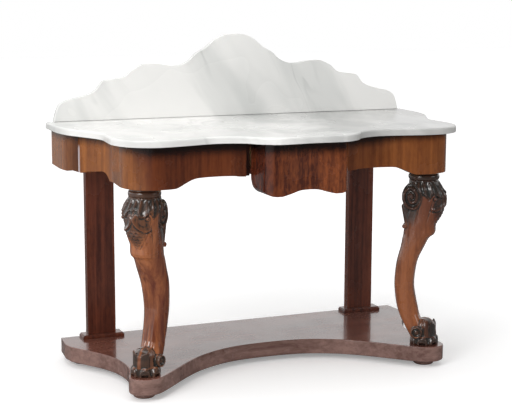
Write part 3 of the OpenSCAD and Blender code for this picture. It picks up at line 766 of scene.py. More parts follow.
def platform_material():
    """Platform wood, with painted shade that makes its top darker and redder than its edges; the top has
    a harder polish that mirrors the posts.
    """
    wood = settings("wood")

    def tint(wires, place, base, rough):
        # Painted shade on the faces that look up
        return wires.tint(upward(wires), base, tuple(wood.plinth_top_shade)), rough

    def coat(wires):
        return wires.plus(wires.times(upward(wires), TOP_COAT), PLATFORM_COAT)

    return wood_material(
        "Platform mahogany", wood.plinth_light, wood.plinth_dark, 0.6, 0.3, 0.4, turn=ACROSS,
        coat=coat, coat_rough=0.07, tint=tint)


def pine_material(turn):
    """Plain pine with its grain along one axis, with painted shade that makes it dark where it can be
    seen in front.
    """
    wood = settings("wood")
    turns = {"X": ACROSS, "Y": DEPTHWAYS, "Z": (0, 0, 0)}

    def tint(wires, place, base, rough):
        # Painted shade in front, where the pine shows in the drawer opening
        front = wires.span(wires.coordinate(place, "Y"), OPENING_SHADE_Y - 0.008, OPENING_SHADE_Y, 1.0, 0.0)
        return wires.blend(front, base, tuple(wood.post_dark)), rough

    return wood_material(
        f"Pine along {turn}", wood.pine_light, wood.pine_dark, 0.7, 0.1, 0.15, turn=turns[turn],
        coat=0.0, coat_rough=0.4, tint=tint)


# Painted shade on the right leg: where along X and Z it sets in, and its tone there
LEG_SHADE_SIDE, LEG_SHADE_HEIGHT, LEG_SHADE_TONE = (-0.1, 0.1, 0.0, 0.95), (0.30, 0.50, 0.3, 1.0), (0.38, 0.34, 0.44)


def carved_material():
    """Polished leg wood; the attributes 'patina' and 'hollow' say where old dark polish lies, and painted
    shade darkens the right leg, most towards its knee.
    """
    wood = settings("wood")

    def tint(wires, place, base, rough):
        patina, hollow = (
            wires.add("ShaderNodeAttribute", attribute_name=name).outputs["Fac"]
            for name in ("patina", "hollow"))
        mask = wires.plus(wires.times(patina, 0.92), wires.span(hollow, 0.52, 0.72), clamp=True)
        worn = wires.span(hollow, 0.44, 0.25)
        mask = wires.minus(mask, wires.times(worn, 0.14), clamp=True)
        # Painted shade on the right leg
        shade_share = wires.times(wires.span(wires.coordinate(place, "X"), *LEG_SHADE_SIDE),
                           wires.span(wires.coordinate(place, "Z"), *LEG_SHADE_HEIGHT))
        grime = wires.add("ShaderNodeGroup", node_tree=grime_group(), inputs={
            "Vector": place, "Color": wires.tint(shade_share, base, LEG_SHADE_TONE),
            "Grime": tuple(wood.carved), "Mask": mask, "Roughness": rough})
        return grime.outputs["Color"], grime.outputs["Roughness"]

    return wood_material(
        "Carved mahogany", wood.leg_light, wood.leg_dark, 0.7, 0.2, 0.35, tint=tint, coat=1.0,
        coat_rough=0.10)


# ---- pieces ----

MIRROR = Matrix.Scale(-1, 4, (1, 0, 0))
Y, Z = 1, 2    # axes of a vector


class WashstandStep:
    bl_options = {"REGISTER", "UNDO"}

    def execute(self, context):
        self.make()
        return {"FINISHED"}


# Name, place and size of each soft lamp; its power is the setting of the same name
LAMPS = (("Key", (-3.0, -2.1, 2.2), 1.8), ("Fill", (2.8, -2.6, 1.8), 1.6),
         ("Above", (-0.3, -0.2, 3.2), 2.6))
LAMP_AIM = Vector((0, 0, 0.5))
CAMERA = {"place": (-1.602, -3.739, 1.201), "yaw": 22.58, "pitch": 9.89, "roll": 0.21,
          "lens": 95.16, "sensor": 36}
# Floor at the far left that polished faces mirror more of, and what they mirror of the room
LEFT_FLOOR, LEFT_SHARE = (-1.9, -1.3), 0.65
BACKDROP, FLANK = (-0.15, 0.35), (-0.95, -0.60, 0.75, 0.0)
WHITE, BLACK = (1.0, 1.0, 1.0), (0.0, 0.0, 0.0)


class WASHSTAND_OT_stage(WashstandStep, bpy.types.Operator):
    """Floor, soft lamps and the camera"""
    bl_idname = "washstand.stage"
    bl_label = "Stage"

    def make(self):
        stage = settings("stage")
        bpy.context.scene.view_settings.view_transform = "Standard"
        self.floor(stage)
        self.surroundings(stage)
        for name, place, size in LAMPS:
            self.lamp(name, getattr(stage, name.lower()), place, size)
        self.camera()

    def floor(self, stage):
        deselect_all()
        bpy.ops.mesh.primitive_plane_add(size=30)
        floor = bpy.context.object
        floor.name = "Floor"
        material, wires, shader, place = new_material("Floor")
        path = wires.add("ShaderNodeLightPath")
        share = wires.span(wires.coordinate(place, "X"), *LEFT_FLOOR, LEFT_SHARE, stage.mirrored)
        dark = wires.times(path.outputs["Is Glossy Ray"], wires.minus(1.0, share))
        wires.feed(shader, "Base Color", wires.blend(dark, tuple(stage.floor), BLACK))
        wires.feed(shader, "Roughness", 0.6)
        wires.feed(shader, "Specular IOR Level", 0.1)
        reach = wires.add("ShaderNodeVectorMath", operation="LENGTH", inputs={0: place})
        glow = wires.span(
            reach.outputs["Value"], stage.near, stage.far, stage.near_glow, stage.far_glow)
        wires.feed(shader, "Emission Color", WHITE)
        wires.feed(shader, "Emission Strength", wires.times(path.outputs["Is Camera Ray"], glow))
        floor.data.materials.append(material)
        floor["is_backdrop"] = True

    def surroundings(self, stage):
        world = bpy.context.scene.world or bpy.data.worlds.new("Room")
        bpy.context.scene.world = world
        world.use_nodes = True
        world.node_tree.nodes.clear()
        wires = Wiring(world.node_tree)
        out = wires.add("ShaderNodeOutputWorld")
        path = wires.add("ShaderNodeLightPath")
        seen = wires.maths(
            "MAXIMUM", path.outputs["Is Camera Ray"], path.outputs["Is Transmission Ray"])
        plain = wires.span(seen, 0.0, 1.0, stage.ambient, 1.0)
        way = wires.add("ShaderNodeTexCoord").outputs["Generated"]
        mirrored = wires.maths(
            "MAXIMUM", wires.span(wires.coordinate(way, "Y"), *BACKDROP, stage.dim, 1.0),
            wires.span(wires.coordinate(way, "X"), *FLANK))
        glossy = path.outputs["Is Glossy Ray"]
        strength = wires.plus(
            wires.times(plain, wires.minus(1.0, glossy)), wires.times(mirrored, glossy))
        light = wires.add(
            "ShaderNodeBackground", inputs={"Color": WHITE, "Strength": strength})
        wires.tree.links.new(light.outputs["Background"], out.inputs["Surface"])

    def lamp(self, name, energy, place, size):
        light = bpy.data.lights.new(name, "AREA")
        light.energy = energy
        light.size = size
        lamp = bpy.data.objects.new(name, light)
        lamp.location = place
        lamp.rotation_euler = (LAMP_AIM - Vector(place)).to_track_quat("-Z", "Y").to_euler()
        bpy.context.collection.objects.link(lamp)

    def camera(self):
        view = bpy.data.cameras.new("Camera")
        view.sensor_width = CAMERA["sensor"]
        view.lens = CAMERA["lens"]
        camera = bpy.data.objects.new("Camera", view)
        yaw, pitch, roll = (math.radians(CAMERA[turn]) for turn in ("yaw", "pitch", "roll"))
        camera.matrix_world = (
            Matrix.Translation(CAMERA["place"])
            @ Matrix.Rotation(-yaw, 4, "Z") @ Matrix.Rotation(math.pi / 2 - pitch, 4, "X")
            @ Matrix.Rotation(roll, 4, "Z"))
        bpy.context.collection.objects.link(camera)
        bpy.context.scene.camera = camera


class WASHSTAND_OT_marble_top(WashstandStep, bpy.types.Operator):
    """Serpentine marble top with a rounded upper edge"""
    bl_idname = "washstand.marble_top"
    bl_label = "Marble top"

    def make(self):
        marble = settings("marble")
        rims = ((1, marble.edge, 5), (0, marble.arris / 2, 2))
        slab = curved_board("Marble_Top", "marble_top", Z, rims)
        settle(slab, marble_material("Marble top", marble.top_right_shade), "marble_top")


class WASHSTAND_OT_splashback(WashstandStep, bpy.types.Operator):
    """Stepped marble splashback and the pins that hold it"""
    bl_idname = "washstand.splashback"
    bl_label = "Marble splashback"

    def make(self):
        marble = settings("marble")
        rims = ((0, marble.arris, 3), (1, marble.arris / 2, 2))
        splash = curved_board("Marble_Splashback", "marble_splashback", Y, rims)
        finish = marble_material("Marble splashback", marble.splash_right)
        settle(splash, finish, "marble_splashback")
        pins = eased("splashback_pins", 0.0005)
        settle(pins, brass_material(), "splashback_pins")


class WASHSTAND_OT_frieze(WashstandStep, bpy.types.Operator):
    """Shaped frieze halves and the side friezes behind their joints"""
    bl_idname = "washstand.frieze"
    bl_label = "Frieze"

    proud: length("Joint step", 0.003, "How far a side frieze stands proud at its joint")
    fade: length("Joint fade", 0.05, "Length over which that step dies away")
    skin: length("Outer face", 0.012, "Depth of the outer part that the step moves")

    def make(self):
        width = settings("wood").arris * 1.5
        for side in ("left", "right"):
            for node, shape in ((f"frieze_{side}", None), (f"side_frieze_{side}", self.step_out)):
                piece = eased(node, width, 3, shape)
                settle(piece, frieze_material(), node)

    def step_out(self, flank):
        """Sets the front end of a side frieze a little outwards, so that the joint casts a line."""
        edit(flank, "FACE", everything=True)
        bpy.ops.mesh.bisect(
            plane_co=(0, JOINT_Y + self.fade, 0), plane_no=(0, 1, 0), clear_inner=False)
        leave_edit()
        outer = max(abs(v.co.x) for v in flank.data.vertices if v.co.y < JOINT_Y + 1e-4)
        for vert in flank.data.vertices:
            near = 1 - min(max((vert.co.y - JOINT_Y) / self.fade, 0), 1)
            if near > 0 and abs(vert.co.x) > outer - self.skin:
                vert.co.x += math.copysign(self.proud * near, vert.co.x)


class WASHSTAND_OT_drawer(WashstandStep, bpy.types.Operator):
    """Drawer with its bowed front, sides, back and bottom"""
    bl_idname = "washstand.drawer"
    bl_label = "Drawer"

    def make(self):
        wood = settings("wood")
        front = eased("drawer_front", wood.arris * 1.6, 3)
        settle(front, drawer_material(), "drawer_front", "drawer")
        for node, grain in (("drawer_side_left", "Y"), ("drawer_side_right", "Y"),
                            ("drawer_back", "X"), ("drawer_bottom", "X")):
            board = eased(node, wood.arris / 2)
            settle(board, pine_material(grain), node, "drawer")


class WASHSTAND_OT_inner_frame(WashstandStep, bpy.types.Operator):
    """Rails, stiles, runners, bearers and blocks inside the frieze"""
    bl_idname = "washstand.inner_frame"
    bl_label = "Inner frame"

    drop: length("Stile drop", 0.0048, "How far the stiles reach down behind the frieze's edge")
    end: length("Stile end", 0.004, "Lowest part of a stile, which moves down with its end")

    def make(self):
        wood = settings("wood")
        for node, grain in (
                ("back_rail", "X"), ("drawer_rail", "X"), ("top_rail", "X"),
                ("drawer_runner_left", "Y"), ("drawer_runner_right", "Y"),
                ("bearer_left", "Y"), ("bearer_right", "Y"),
                ("corner_block_left", "Z"), ("corner_block_right", "Z"), ("glue_blocks", "Z")):
            settle(eased(node, wood.arris), pine_material(grain), node)
        for node in ("drawer_stile_left", "drawer_stile_right"):
            stile = eased(node, wood.arris)
            self.lower_end(stile)
            settle(stile, post_material(), node)

    def lower_end(self, stile):
        lowest = min(v.co.z for v in stile.data.vertices)
        for vert in stile.data.vertices:
            if vert.co.z < lowest + self.end:
                vert.co.z -= self.drop


# Profiles in shares of the piece's radius and height, from below
COLLAR_PROFILE = (
    (0.90, 0), (0.93, 0.01), *bead(0.93, 0.07, 0.32, 0.30, 75, 15),
    (0.905, 0.66), (0.89, 0.72), (0.89, 0.93), (0.92, 1))
BUN_PROFILE = ((0.70, 0), *bead(0.72, 0.28, 0.5, 0.5 / 0.866, 60, 12), (0.34, 1))
BUN_DOWEL = 0.33
COLLAR_MARKS = {"patina": 0.82, "hollow": 0.55}


class WASHSTAND_OT_collars(WashstandStep, bpy.types.Operator):
    """Turned collars on top of the front legs"""
    bl_idname = "washstand.collars"
    bl_label = "Leg collars"

    def make(self):
        radius = (COLLAR_HIGH.x - COLLAR_LOW.x) / 2
        height = COLLAR_HIGH.z - COLLAR_LOW.z
        centre = (COLLAR_LOW + COLLAR_HIGH) / 2
        profile = [(radius * wide, height * high) for wide, high in COLLAR_PROFILE]
        right = turned("Leg_Collar_Right", Vector((centre.x, centre.y, COLLAR_LOW.z)), profile,
                       settings("wood").turn_sides)
        smooth_faces(right, CURVED)
        left = mesh_copy(right, "Leg_Collar_Left", MIRROR)
        for collar, side in ((left, "left"), (right, "right")):
            for name, value in COLLAR_MARKS.items():
                store(collar, name, np.full(len(collar.data.vertices), value))
            settle(collar, carved_material(), f"leg_collar_{side}")


class WASHSTAND_OT_posts(WashstandStep, bpy.types.Operator):
    """Flat rear posts in their bevelled shoes, with the screws that hold them to the rail"""
    bl_idname = "washstand.posts"
    bl_label = "Rear posts"

    def make(self):
        width = settings("wood").arris
        for side in ("left", "right"):
            for node in (f"rear_post_{side}", f"post_shoe_{side}"):
                settle(eased(node, width), post_material(), node)
        settle(eased("post_screws", 0.0004), brass_material(), "post_screws")


class WASHSTAND_OT_platform(WashstandStep, bpy.types.Operator):
    """Hollow-sided platform"""
    bl_idname = "washstand.platform"
    bl_label = "Platform"

    def make(self):
        arris = settings("wood").arris
        rims = ((1, arris * 2, 3), (0, arris * 4, 4))
        board = curved_board("Platform", "plinth", Z, rims, held=False)
        settle(board, platform_material(), "plinth")


class WASHSTAND_OT_feet(WashstandStep, bpy.types.Operator):
    """Four turned bun feet"""
    bl_idname = "washstand.feet"
    bl_label = "Bun feet"

    def make(self):
        radius = (FOOT_HIGH.x - FOOT_LOW.x) / 2
        profile = [(radius * wide, PLINTH_LOW.z * high) for wide, high in BUN_PROFILE]
        profile.append((radius * BUN_DOWEL, FOOT_HIGH.z))
        foot = turned("Bun", Vector((0, 0, 0)), profile, settings("wood").turn_sides)
        smooth_faces(foot, CURVED)
        for end in ("front", "rear"):
            for side in ("left", "right"):
                node = f"foot_{end}_{side}"
                low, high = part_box(node)
                middle = Vector(((low.x + high.x) / 2, (low.y + high.y) / 2, 0))
                bun = mesh_copy(foot, f"Bun_Foot_{end.title()}_{side.title()}",
                                Matrix.Translation(middle))
                settle(bun, platform_material(), node)
        bpy.data.objects.remove(foot)


# ---- carved legs ----

def store(obj, name, values):
    layer = obj.data.attributes.new(name, "FLOAT", "POINT")
    layer.data.foreach_set("value", np.asarray(values, np.float32))


def each_point(obj, field):
    """The place or normal of every point of a piece, one to a row."""
    flat = np.empty(len(obj.data.vertices) * 3, np.float32)
    obj.data.vertices.foreach_get(field, flat)
    return flat.reshape(-1, 3).astype(float)


def move_points(obj, places):
    obj.data.vertices.foreach_set("co", places.astype(np.float32).ravel())
    obj.data.update()


def step(value, low, high):
    t = np.clip((value - low) / (high - low), 0, 1)
    return t * t * (3 - 2 * t)


def hump(distance, width):
    """1 on a line, falling smoothly to 0 at a distance of width."""
    return 1 - step(np.abs(distance), 0, width)


# Places on the leg, in metres and degrees: u outwards from the foot, v across, z up, and the
# turn round the leg's own middle line, which is 0 in front
LEG_AXIS_Z = [0.066, 0.15, 0.25, 0.35, 0.41, 0.47, 0.53, 0.58]
LEG_AXIS_U = [0.004, -0.045, -0.062, -0.048, -0.026, -0.013, 0.0, -0.012]
FRONT_TURN = -5
KNEE_LOW, KNEE_HIGH = 0.40, 0.42
GRAIN_FINE, GRAIN_DEEP = 70, 0.00025
# Fan of reeded leaves under the collar, and the outline of its tips
FAN_TOP, REED, FAN_BACK = 0.580, 20, 118
TIP_TURN = [0, 12, 25, 38, 50, 58, 70, 84, 100, 125]
TIP_Z = [0.545, 0.547, 0.530, 0.531, 0.541, 0.543, 0.525, 0.538, 0.545, 0.552]
# Slanting cup and small eye on each side of the middle; ARC is the length of one degree of turn
ARC = 0.0009
CUP = {"x": 0.027, "z": 0.5145, "tilt": 48, "long": 0.027, "wide": 0.0190}
EYE = {"x": 0.043, "z": 0.526, "r": 0.0058, "pupil": 0.0024}
# Husks: small leaves that hang to a point
HUSK_TOP, HUSK_LOW, HUSK_ROW, HUSK_CELL = 0.492, 0.436, 0.0095, 16
TONGUE = {"turn": 79, "half": 22, "inner": 57, "outer": 102}
LEDGE_Z = 0.411
VOLUTE = {"u": -0.043, "z": 0.530, "deep": 0.031, "tall": 0.042, "turns": 2.1, "start": 0.1}
CUT_Z = 0.158
ANKLE = [  # z, u and v of the middle, half depth and half width of the leg below the cut
    (0.145, -0.043, -0.002, 0.030, 0.0335), (0.116, -0.029, -0.004, 0.028, 0.035),
    (0.090, -0.010, -0.006, 0.032, 0.035), (0.070, -0.002, -0.006, 0.035, 0.035)]
DOWEL = {"r": 0.0128, "top": 0.08}
STRAP = {"place": (-0.058, 0, 0.470), "size": (0.024, 0.066, 0.074), "lean": -11, "round": 0.006}
FLUTES = {"turns": (-24, 0, 24), "half": 11, "deep": 0.0014}
# The foot's own middle, its ball, the two halves of its upright leaf, its toes and its rolls
FOOT_U, FOOT_V = 0.001, -0.006
BALL = {"ahead": 0.003, "z": 0.118, "r": 0.030}
WING = {"inner": 13, "half": 50, "r": 0.0365, "thick": 0.004, "base": 0.088, "low": 0.129,
        "high": 0.146}
TOE_LOW, TOE_TOP, TOE_IN, TOE_R, TOE_STEP = 0.068, 0.0950, 0.034, 0.0452, 57
ROLL = {"u": -0.018, "z": 0.107, "sides": 40}
ROLL_PROFILE = [(0.0165, 0.020), (0.0170, 0.034), (0.0178, 0.038), (0.0180, 0.0435),
                (0.0165, 0.0465), (0.0138, 0.0465), (0.0120, 0.0415), (0.0078, 0.0405),
                (0.0062, 0.0440), (0.0020, 0.0450)]


def leg_turn(u, v, z):
    """Degrees round the leg's own middle line, from its front."""
    axis = np.interp(z, LEG_AXIS_Z, LEG_AXIS_U)
    return np.degrees(np.arctan2(v, u - axis)) - FRONT_TURN


def husk_share(z):
    """0 at the top of the husks, 1 at their point."""
    return np.clip((HUSK_TOP - z) / (HUSK_TOP - HUSK_LOW), 0, 1)


def volute_place(u, z):
    """Place on the side scroll, as shares of its half depth and half height."""
    return (u - VOLUTE["u"]) / VOLUTE["deep"], (z - VOLUTE["z"]) / VOLUTE["tall"]


class WASHSTAND_OT_front_legs(WashstandStep, bpy.types.Operator):
    """Carved cabriole legs: leafy knee with side scrolls, plain shin and clawed foot"""
    bl_idname = "washstand.front_legs"
    bl_label = "Front legs"

    def make(self):
        place = (Matrix.Translation((LEG_X, LEG_Y, 0))
                 @ Matrix.Rotation(LEG_TURN - math.pi / 2, 4, "Z"))
        leg = self.trunk(place)
        parts = [self.foot(), self.dowel(), self.strap(), self.roll(1), self.roll(-1),
                 self.wing(1), self.wing(-1)]
        activate(leg)
        for part in parts:
            part.select_set(True)
        bpy.ops.object.join()
        apply_modifier(leg, "REMESH", mode="VOXEL", voxel_size=settings("wood").carve_voxel)
        apply_modifier(leg, "SMOOTH", factor=0.5, iterations=4)
        self.carve(leg)
        apply_modifier(leg, "SMOOTH", factor=0.3, iterations=1)
        self.mark(leg)
        activate(leg)
        bpy.ops.object.shade_smooth()
        left = mesh_copy(leg, "Front_Leg_Left", MIRROR @ place)
        leg.data.transform(place)
        for side, piece in (("left", left), ("right", leg)):
            settle(piece, carved_material(), f"front_leg_{side}")

    def trunk(self, place):
        """Leg down to the ankle, then drawn in to the foot ring by ring."""
        leg = node_copy("front_leg_right")
        leg.data.transform(place.inverted())
        edit(leg, everything=True)
        bpy.ops.mesh.bisect(
            plane_co=(0, 0, CUT_Z), plane_no=(0, 0, 1), clear_inner=True, use_fill=True)
        leave_edit()
        rim = np.array([v.co for v in leg.data.vertices if abs(v.co.z - CUT_Z) < SAME_PLACE])
        low, high = rim.min(0), rim.max(0)
        middle, size = (low + high) / 2, (high - low) / 2
        here = Vector((middle[0], middle[1], CUT_Z))
        edit(leg, "FACE")
        pick(leg, "faces", Z, CUT_Z)
        for z, u, v, deep, wide in ANKLE:
            there = Vector((u, v, z))
            bpy.ops.mesh.extrude_region_move(TRANSFORM_OT_translate={"value": there - here})
            bpy.ops.transform.resize(
                value=(deep / size[0], wide / size[1], 1), center_override=there)
            here, size = there, (deep, wide)
        leave_edit()
        return leg

    def dowel(self):
        """Dowel under the foot, which goes down into the platform."""
        deselect_all()
        low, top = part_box("front_leg_right")[0].z, DOWEL["top"]
        bpy.ops.mesh.primitive_cylinder_add(
            vertices=32, radius=DOWEL["r"], depth=top - low, location=(0, 0, (top + low) / 2))
        return just_added("Dowel")

    def strap(self):
        """Band that runs down the back from the side scrolls to the small roll."""
        deselect_all()
        bpy.ops.mesh.primitive_cube_add(size=1, location=STRAP["place"])
        bpy.context.object.scale = STRAP["size"]
        bpy.context.object.rotation_euler = (0, math.radians(STRAP["lean"]), 0)
        strap = just_added("Strap")
        ease_edges(strap, STRAP["round"], 3)
        return strap

    def roll(self, side):
        """Scroll that turns out at one side of the ankle."""
        place = Vector((ROLL["u"], FOOT_V, ROLL["z"]))
        return turned("Roll", place, ROLL_PROFILE, ROLL["sides"], Vector((0, side, 0)))

    def foot(self):
        """Ball with its ribs, tongue and toes, shaped from a sphere by its radius at each height."""
        deselect_all()
        bpy.ops.mesh.primitive_uv_sphere_add(segments=180, ring_count=110, radius=1)
        foot = just_added("Foot")
        x, y, height = each_point(foot, "co").T
        turn = np.arctan2(y, x)
        rise = np.arcsin(np.clip(height, -1, 1)) / (np.pi / 2)
        flat = 0.9
        base, top = PLINTH_HIGH.z, BALL["z"] + BALL["r"]
        z = base + (top - base) * np.clip((rise + flat) / (1 + flat), 0, 1)
        reach = self.foot_radius(np.degrees(turn), z) * np.clip((1 + rise) / (1 - flat), 0, 1)
        move_points(foot, np.stack(
            [FOOT_U + reach * np.cos(turn), FOOT_V + reach * np.sin(turn), z], 1))
        tidy_normals(foot)
        return foot

    def foot_radius(self, turn, z):
        """Distance of the foot's surface from its middle line."""
        above = np.clip(z - BALL["z"], 0, None)
        ball = np.sqrt(np.clip(BALL["r"] ** 2 - above ** 2, 0, None))
        ball = ball + 0.002 * step(BALL["z"] - z, 0, 0.02)
        ball = ball + BALL["ahead"] * np.cos(np.radians(turn)) * step(ball, 0, 0.01)
        off = turn - FRONT_TURN
        ring = np.abs(off) - 90
        ball = ball + 0.0010 * np.cos(np.pi * ring / 9) * step(24 - np.abs(ring), 0, 8) \
            * step(ball, 0.010, 0.026)
        tongue = 0.0030 * step(WING["inner"] - np.abs(off), -3, 3)
        body = ball + tongue * step(0.136 - z, 0, 0.012)
        return np.maximum(body, self.toe_radius(off, z))

    def toe_radius(self, off, z):
        """Skirt of arched toes, each with a thick rim, a hollow face and a dark gap under it."""
        lobe = np.abs((off / TOE_STEP) % 1 - 0.5) * 2
        height = np.clip((z - TOE_LOW) / (TOE_TOP - TOE_LOW), 0, 1)
        arch = np.hypot(lobe / 0.97, height)
        puff = np.sqrt(np.clip(1 - arch ** 2.6, 0, 1))
        rim = 0.0016 * hump(arch - 0.72, 0.16)
        gap = 0.012 * step(0.0745 - 0.004 * lobe ** 2 - z, 0, 0.0012) * step(0.48 - lobe, 0, 0.10)
        return np.where(z < TOE_TOP, TOE_IN + (TOE_R - TOE_IN) * puff + rim - gap, 0)

    def wing(self, side):
        """Half of the upright leaf in front of the ball, highest at its outer corner."""
        turns = [WING["inner"] + (WING["half"] - WING["inner"]) * i / 12 for i in range(13)]
        ring = []
        for reach, way in ((WING["r"], turns), (WING["r"] - WING["thick"], turns[::-1])):
            for turn in way:
                angle = math.radians(FRONT_TURN + side * turn)
                ring.append(Vector((FOOT_U + reach * math.cos(angle),
                                    FOOT_V + reach * math.sin(angle), WING["base"])))
        board = plate("Wing", ring, (0, 0, WING["low"] - WING["base"]))
        for vert in board.data.vertices:
            if vert.co.z > WING["low"] - 1e-4:
                angle = math.atan2(vert.co.y - FOOT_V, vert.co.x - FOOT_U)
                share = abs(math.degrees(angle) - FRONT_TURN) / WING["half"]
                rise = share ** 1.6 * (1 - 0.55 * step(share, 0.80, 1.0))
                vert.co.z += (WING["high"] - WING["low"]) * float(rise)
        return board

    def carve(self, leg):
        """Raises and sinks the surface for the carving, and for a little wood grain."""
        co, normal = each_point(leg, "co"), each_point(leg, "normal")
        u, v, z = co.T
        turn = leg_turn(u, v, z)
        side = np.abs(turn)
        knee = step(z, KNEE_LOW, KNEE_HIGH)
        depth = self.fan(side, z) + self.cups(side, z) + self.husks(side, z)
        depth = (depth + self.tongues(side, z) + self.ledge(side, z)) * knee
        depth += self.spirals(co, normal) + self.flutes(turn, z)
        grain = np.array([noise.noise(Vector(p) * GRAIN_FINE) for p in co]) * GRAIN_DEEP
        grain = grain * (0.3 + 0.7 * knee)
        move_points(leg, co + normal * (depth + grain)[:, None])

    def fan(self, side, z):
        """Reeded leaves that spread from under the collar and end in turned-out tips."""
        tip = np.interp(side, TIP_TURN, TIP_Z)
        reed = np.abs((side / REED) % 1 - 0.5) * 2
        on = step(z, tip - 0.0015, tip + 0.0025) * step(FAN_TOP + 0.002 - z, 0, 0.012)
        on = on * step(FAN_BACK - side, 0, 8)
        ridge = 0.0030 * reed ** 2.2 - 0.0016 * (1 - reed) + 0.0016
        lip = 0.0014 * hump(z - tip - 0.004, 0.006)
        under = -0.0016 * hump(z - tip + 0.0035, 0.004) * step(105 - side, 0, 8)
        return on * (ridge + lip) + under

    def cups(self, side, z):
        """Slanting hollow on each side of the middle; its rim is bright below and open above."""
        x, y = side * ARC - CUP["x"], z - CUP["z"]
        lean = math.radians(CUP["tilt"])
        along = (x * math.cos(lean) - y * math.sin(lean)) / CUP["long"]
        across = (x * math.sin(lean) + y * math.cos(lean)) / CUP["wide"]
        reach = np.hypot(along, across)
        open_end = step(-across, -0.35, 0.15)
        below = step(np.interp(side, TIP_TURN, TIP_Z) - z, -0.001, 0.003)
        hollow = -0.0046 * step(0.92 - reach, 0, 0.5)
        rim = 0.0036 * hump(reach - 1.0, 0.20) * open_end
        outside = -0.0016 * hump(reach - 1.28, 0.18) * open_end
        away = np.hypot(side * ARC - EYE["x"], z - EYE["z"])
        eye = 0.0040 * step(EYE["r"] - away, 0, 0.0022)
        eye = eye - 0.0026 * step(EYE["pupil"] - away, 0, 0.0016)
        eye = eye - 0.0020 * hump(away - EYE["r"] - 0.0015, 0.002)
        middle = 0.0022 * hump(side, 5) * step(z, HUSK_TOP, 0.505)
        return below * (hollow + rim + outside + middle) + eye

    def husks(self, side, z):
        """Overlapping small leaves that hang to a point below the cups."""
        half = 42 * (1 - husk_share(z)) ** 0.8
        on = step(half + 4 - side, 0, 6) * step(HUSK_TOP + 0.004 - z, 0, 0.006) \
            * step(z, HUSK_LOW - 0.003, HUSK_LOW + 0.003)
        line = (z - HUSK_LOW) / HUSK_ROW
        stagger = np.floor(line) % 2 * 0.5
        mid = np.abs((side / HUSK_CELL + stagger) % 1 - 0.5) * 2
        low = line % 1 - 0.35 * mid ** 2
        leaf = 0.0030 * (1 - low.clip(0, 1)) * step(low, 0.0, 0.14) * (1 - 0.6 * mid ** 2)
        edge = -0.0012 * hump(side - half - 7, 5) * step(HUSK_TOP - z, 0, 0.004) \
            * step(z, HUSK_LOW - 0.006, HUSK_LOW)
        return on * (leaf - 0.0006) + edge

    def tongues(self, side, z):
        """Smooth tongue down each side, between the cup and the side scroll."""
        tall = step(0.548 - z, 0, 0.008) * step(z, 0.425, 0.470)
        off = np.clip((side - TONGUE["turn"]) / TONGUE["half"], -1, 1)
        swell = 0.0016 * np.cos(off * np.pi / 2)
        lines = -0.0014 * (hump(side - TONGUE["inner"], 3.5) + hump(side - TONGUE["outer"], 4))
        return tall * (swell + lines)

    def ledge(self, side, z):
        """The carved part ends in a small step above the plain shin."""
        front = step(64 - side, 0, 8)
        lift = 0.0016 * step(z, LEDGE_Z - 0.001, LEDGE_Z + 0.001) * step(0.445 - z, 0, 0.03)
        line = -0.0012 * hump(z - LEDGE_Z - 0.0045, 0.0022)
        return front * (lift + line)

    def spirals(self, co, normal):
        """Spiral on the outer faces of the knee scrolls."""
        u, v, z = co.T
        flank = np.abs(normal[:, 1])
        x, y = volute_place(u, z)
        reach, angle = np.hypot(x, y), np.arctan2(y, x) / (2 * np.pi)
        face = step(np.abs(v), 0.026, 0.032) * step(flank, 0.35, 0.7) * step(z, 0.47, 0.48)
        ridge = np.cos(2 * np.pi * (VOLUTE["turns"] * reach - angle - VOLUTE["start"]))
        spiral = (0.0030 * ridge + 0.0008) * step(1.04 - reach, 0, 0.1) * step(reach, 0.12, 0.2)
        eye = 0.0045 * step(0.24 - reach, 0, 0.12)
        return face * (spiral + eye)

    def flutes(self, turn, z):
        """Ridges that run down the front of the ankle into the foot."""
        ridge = sum(hump(turn - place, FLUTES["half"]) for place in FLUTES["turns"])
        dip = -0.0008 * hump(turn, 38)
        return (ridge * FLUTES["deep"] + dip) * step(z, 0.128, 0.140) * step(0.250 - z, 0, 0.07)

    def mark(self, leg):
        """Stores how hollow each point is, and how much old polish its region keeps."""
        co, normal = each_point(leg, "co"), each_point(leg, "normal")
        u, v, z = co.T
        store(leg, "hollow", self.hollowness(leg, co, normal))
        polish = self.knee_polish(u, v, z) + self.foot_polish(u, v, z)
        store(leg, "patina", np.clip(np.maximum.reduce(polish), 0, 1))

    def hollowness(self, leg, co, normal):
        """0.5 on flat places, more in the hollows of the carving and less on its ridges."""
        pairs = np.empty(len(leg.data.edges) * 2, np.int32)
        leg.data.edges.foreach_get("vertices", pairs)
        a, b = pairs.reshape(-1, 2).T
        count = np.bincount(np.concatenate([a, b]), minlength=len(co))

        def neighbours(values):
            total = np.zeros_like(values)
            np.add.at(total, a, values[b])
            np.add.at(total, b, values[a])
            return total / (count if values.ndim == 1 else count[:, None])

        hollow = ((neighbours(co) - co) * normal).sum(1)
        for _ in range(6):
            hollow = neighbours(hollow)
        return np.clip(0.5 + hollow / (0.25 * settings("wood").carve_voxel), 0, 1)

    def knee_polish(self, u, v, z):
        """Share of old polish on the fan, the cups, the husks and the side scrolls."""
        side = np.abs(leg_turn(u, v, z))
        tip = np.interp(side, TIP_TURN, TIP_Z)
        fan = step(z, tip - 0.002, tip + 0.001)
        cup = 0.75 * step(54 - side, 0, 4) * step(z, HUSK_TOP - 0.01, HUSK_TOP)
        half = 46 * (1 - husk_share(z)) ** 0.8 + 8
        husk = 0.7 * step(half - side, 0, 22) * step(z, HUSK_LOW - 0.01, HUSK_LOW + 0.01)
        curl = step(1.12 - np.hypot(*volute_place(u, z)), 0, 0.08)
        scroll = 0.86 * np.maximum(step(side, 103, 110) * step(z, 0.430, 0.470), curl)
        return [fan, cup, husk, scroll]

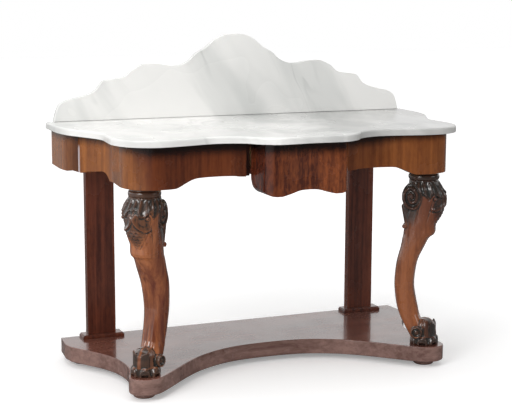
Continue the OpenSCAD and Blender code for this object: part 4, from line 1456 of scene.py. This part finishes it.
    def foot_polish(self, u, v, z):
        """Share of old polish on the toes, the upright leaf, the ball and the rolls' ends; the leaf keeps
        less down its middle, which leaves a painted highlight there.
        """
        front = np.degrees(np.arctan2(v - FOOT_V, u - FOOT_U)) - FRONT_TURN
        above = step(0.152 - z, 0, 0.003) * step(z, 0.09, 0.095)
        toes = step(0.094 - z, 0, 0.006)
        leaf = step(WING["half"] + 4 - np.abs(front), 0, 4) * step(0.149 - z, 0, 0.003)
        # Less polish down the leaf's middle: a painted highlight
        leaf = leaf * (0.22 + 0.78 * step(np.abs(front + 2), 3, 12))
        ball = 0.68 * step(u, -0.014, -0.004) * step(np.abs(front), 30, 50)
        ends = step(np.abs(v - FOOT_V), 0.031, 0.036) * step(0.128 - z, 0, 0.003)
        return [toes, leaf * above, ball * above, ends * above]


STEPS = (
    WASHSTAND_OT_stage, WASHSTAND_OT_marble_top, WASHSTAND_OT_splashback, WASHSTAND_OT_frieze,
    WASHSTAND_OT_drawer, WASHSTAND_OT_inner_frame, WASHSTAND_OT_collars,
    WASHSTAND_OT_front_legs, WASHSTAND_OT_posts, WASHSTAND_OT_platform, WASHSTAND_OT_feet,
)


class WASHSTAND_PT_panel(bpy.types.Panel):
    """Lists the steps that build the washstand"""
    bl_idname = "WASHSTAND_PT_panel"
    bl_label = "Washstand"
    bl_space_type = "VIEW_3D"
    bl_region_type = "UI"
    bl_category = "Washstand"

    def draw(self, context):
        for kind, group in SETTINGS.items():
            box = self.layout.box()
            for item in group.__annotations__:
                box.prop(settings(kind), item)
        for operator in STEPS:
            self.layout.operator(operator.bl_idname)


def register():
    for item in (*SETTINGS.values(), *STEPS, WASHSTAND_PT_panel):
        bpy.utils.register_class(item)
    for kind, group in SETTINGS.items():
        setattr(bpy.types.Scene, f"washstand_{kind}", PointerProperty(type=group))


def unregister():
    for kind in SETTINGS:
        delattr(bpy.types.Scene, f"washstand_{kind}")
    for item in reversed((*SETTINGS.values(), *STEPS, WASHSTAND_PT_panel)):
        bpy.utils.unregister_class(item)


def plain(box):
    return [list(corner) for corner in box]


def main():
    solid_box = plain(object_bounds())
    register()
    for operator in STEPS:
        group, name = operator.bl_idname.split(".")
        getattr(getattr(bpy.ops, group), name)()
    {"solids": solid_box, "visual": plain(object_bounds())}


if __name__ == "__main__":
    main()
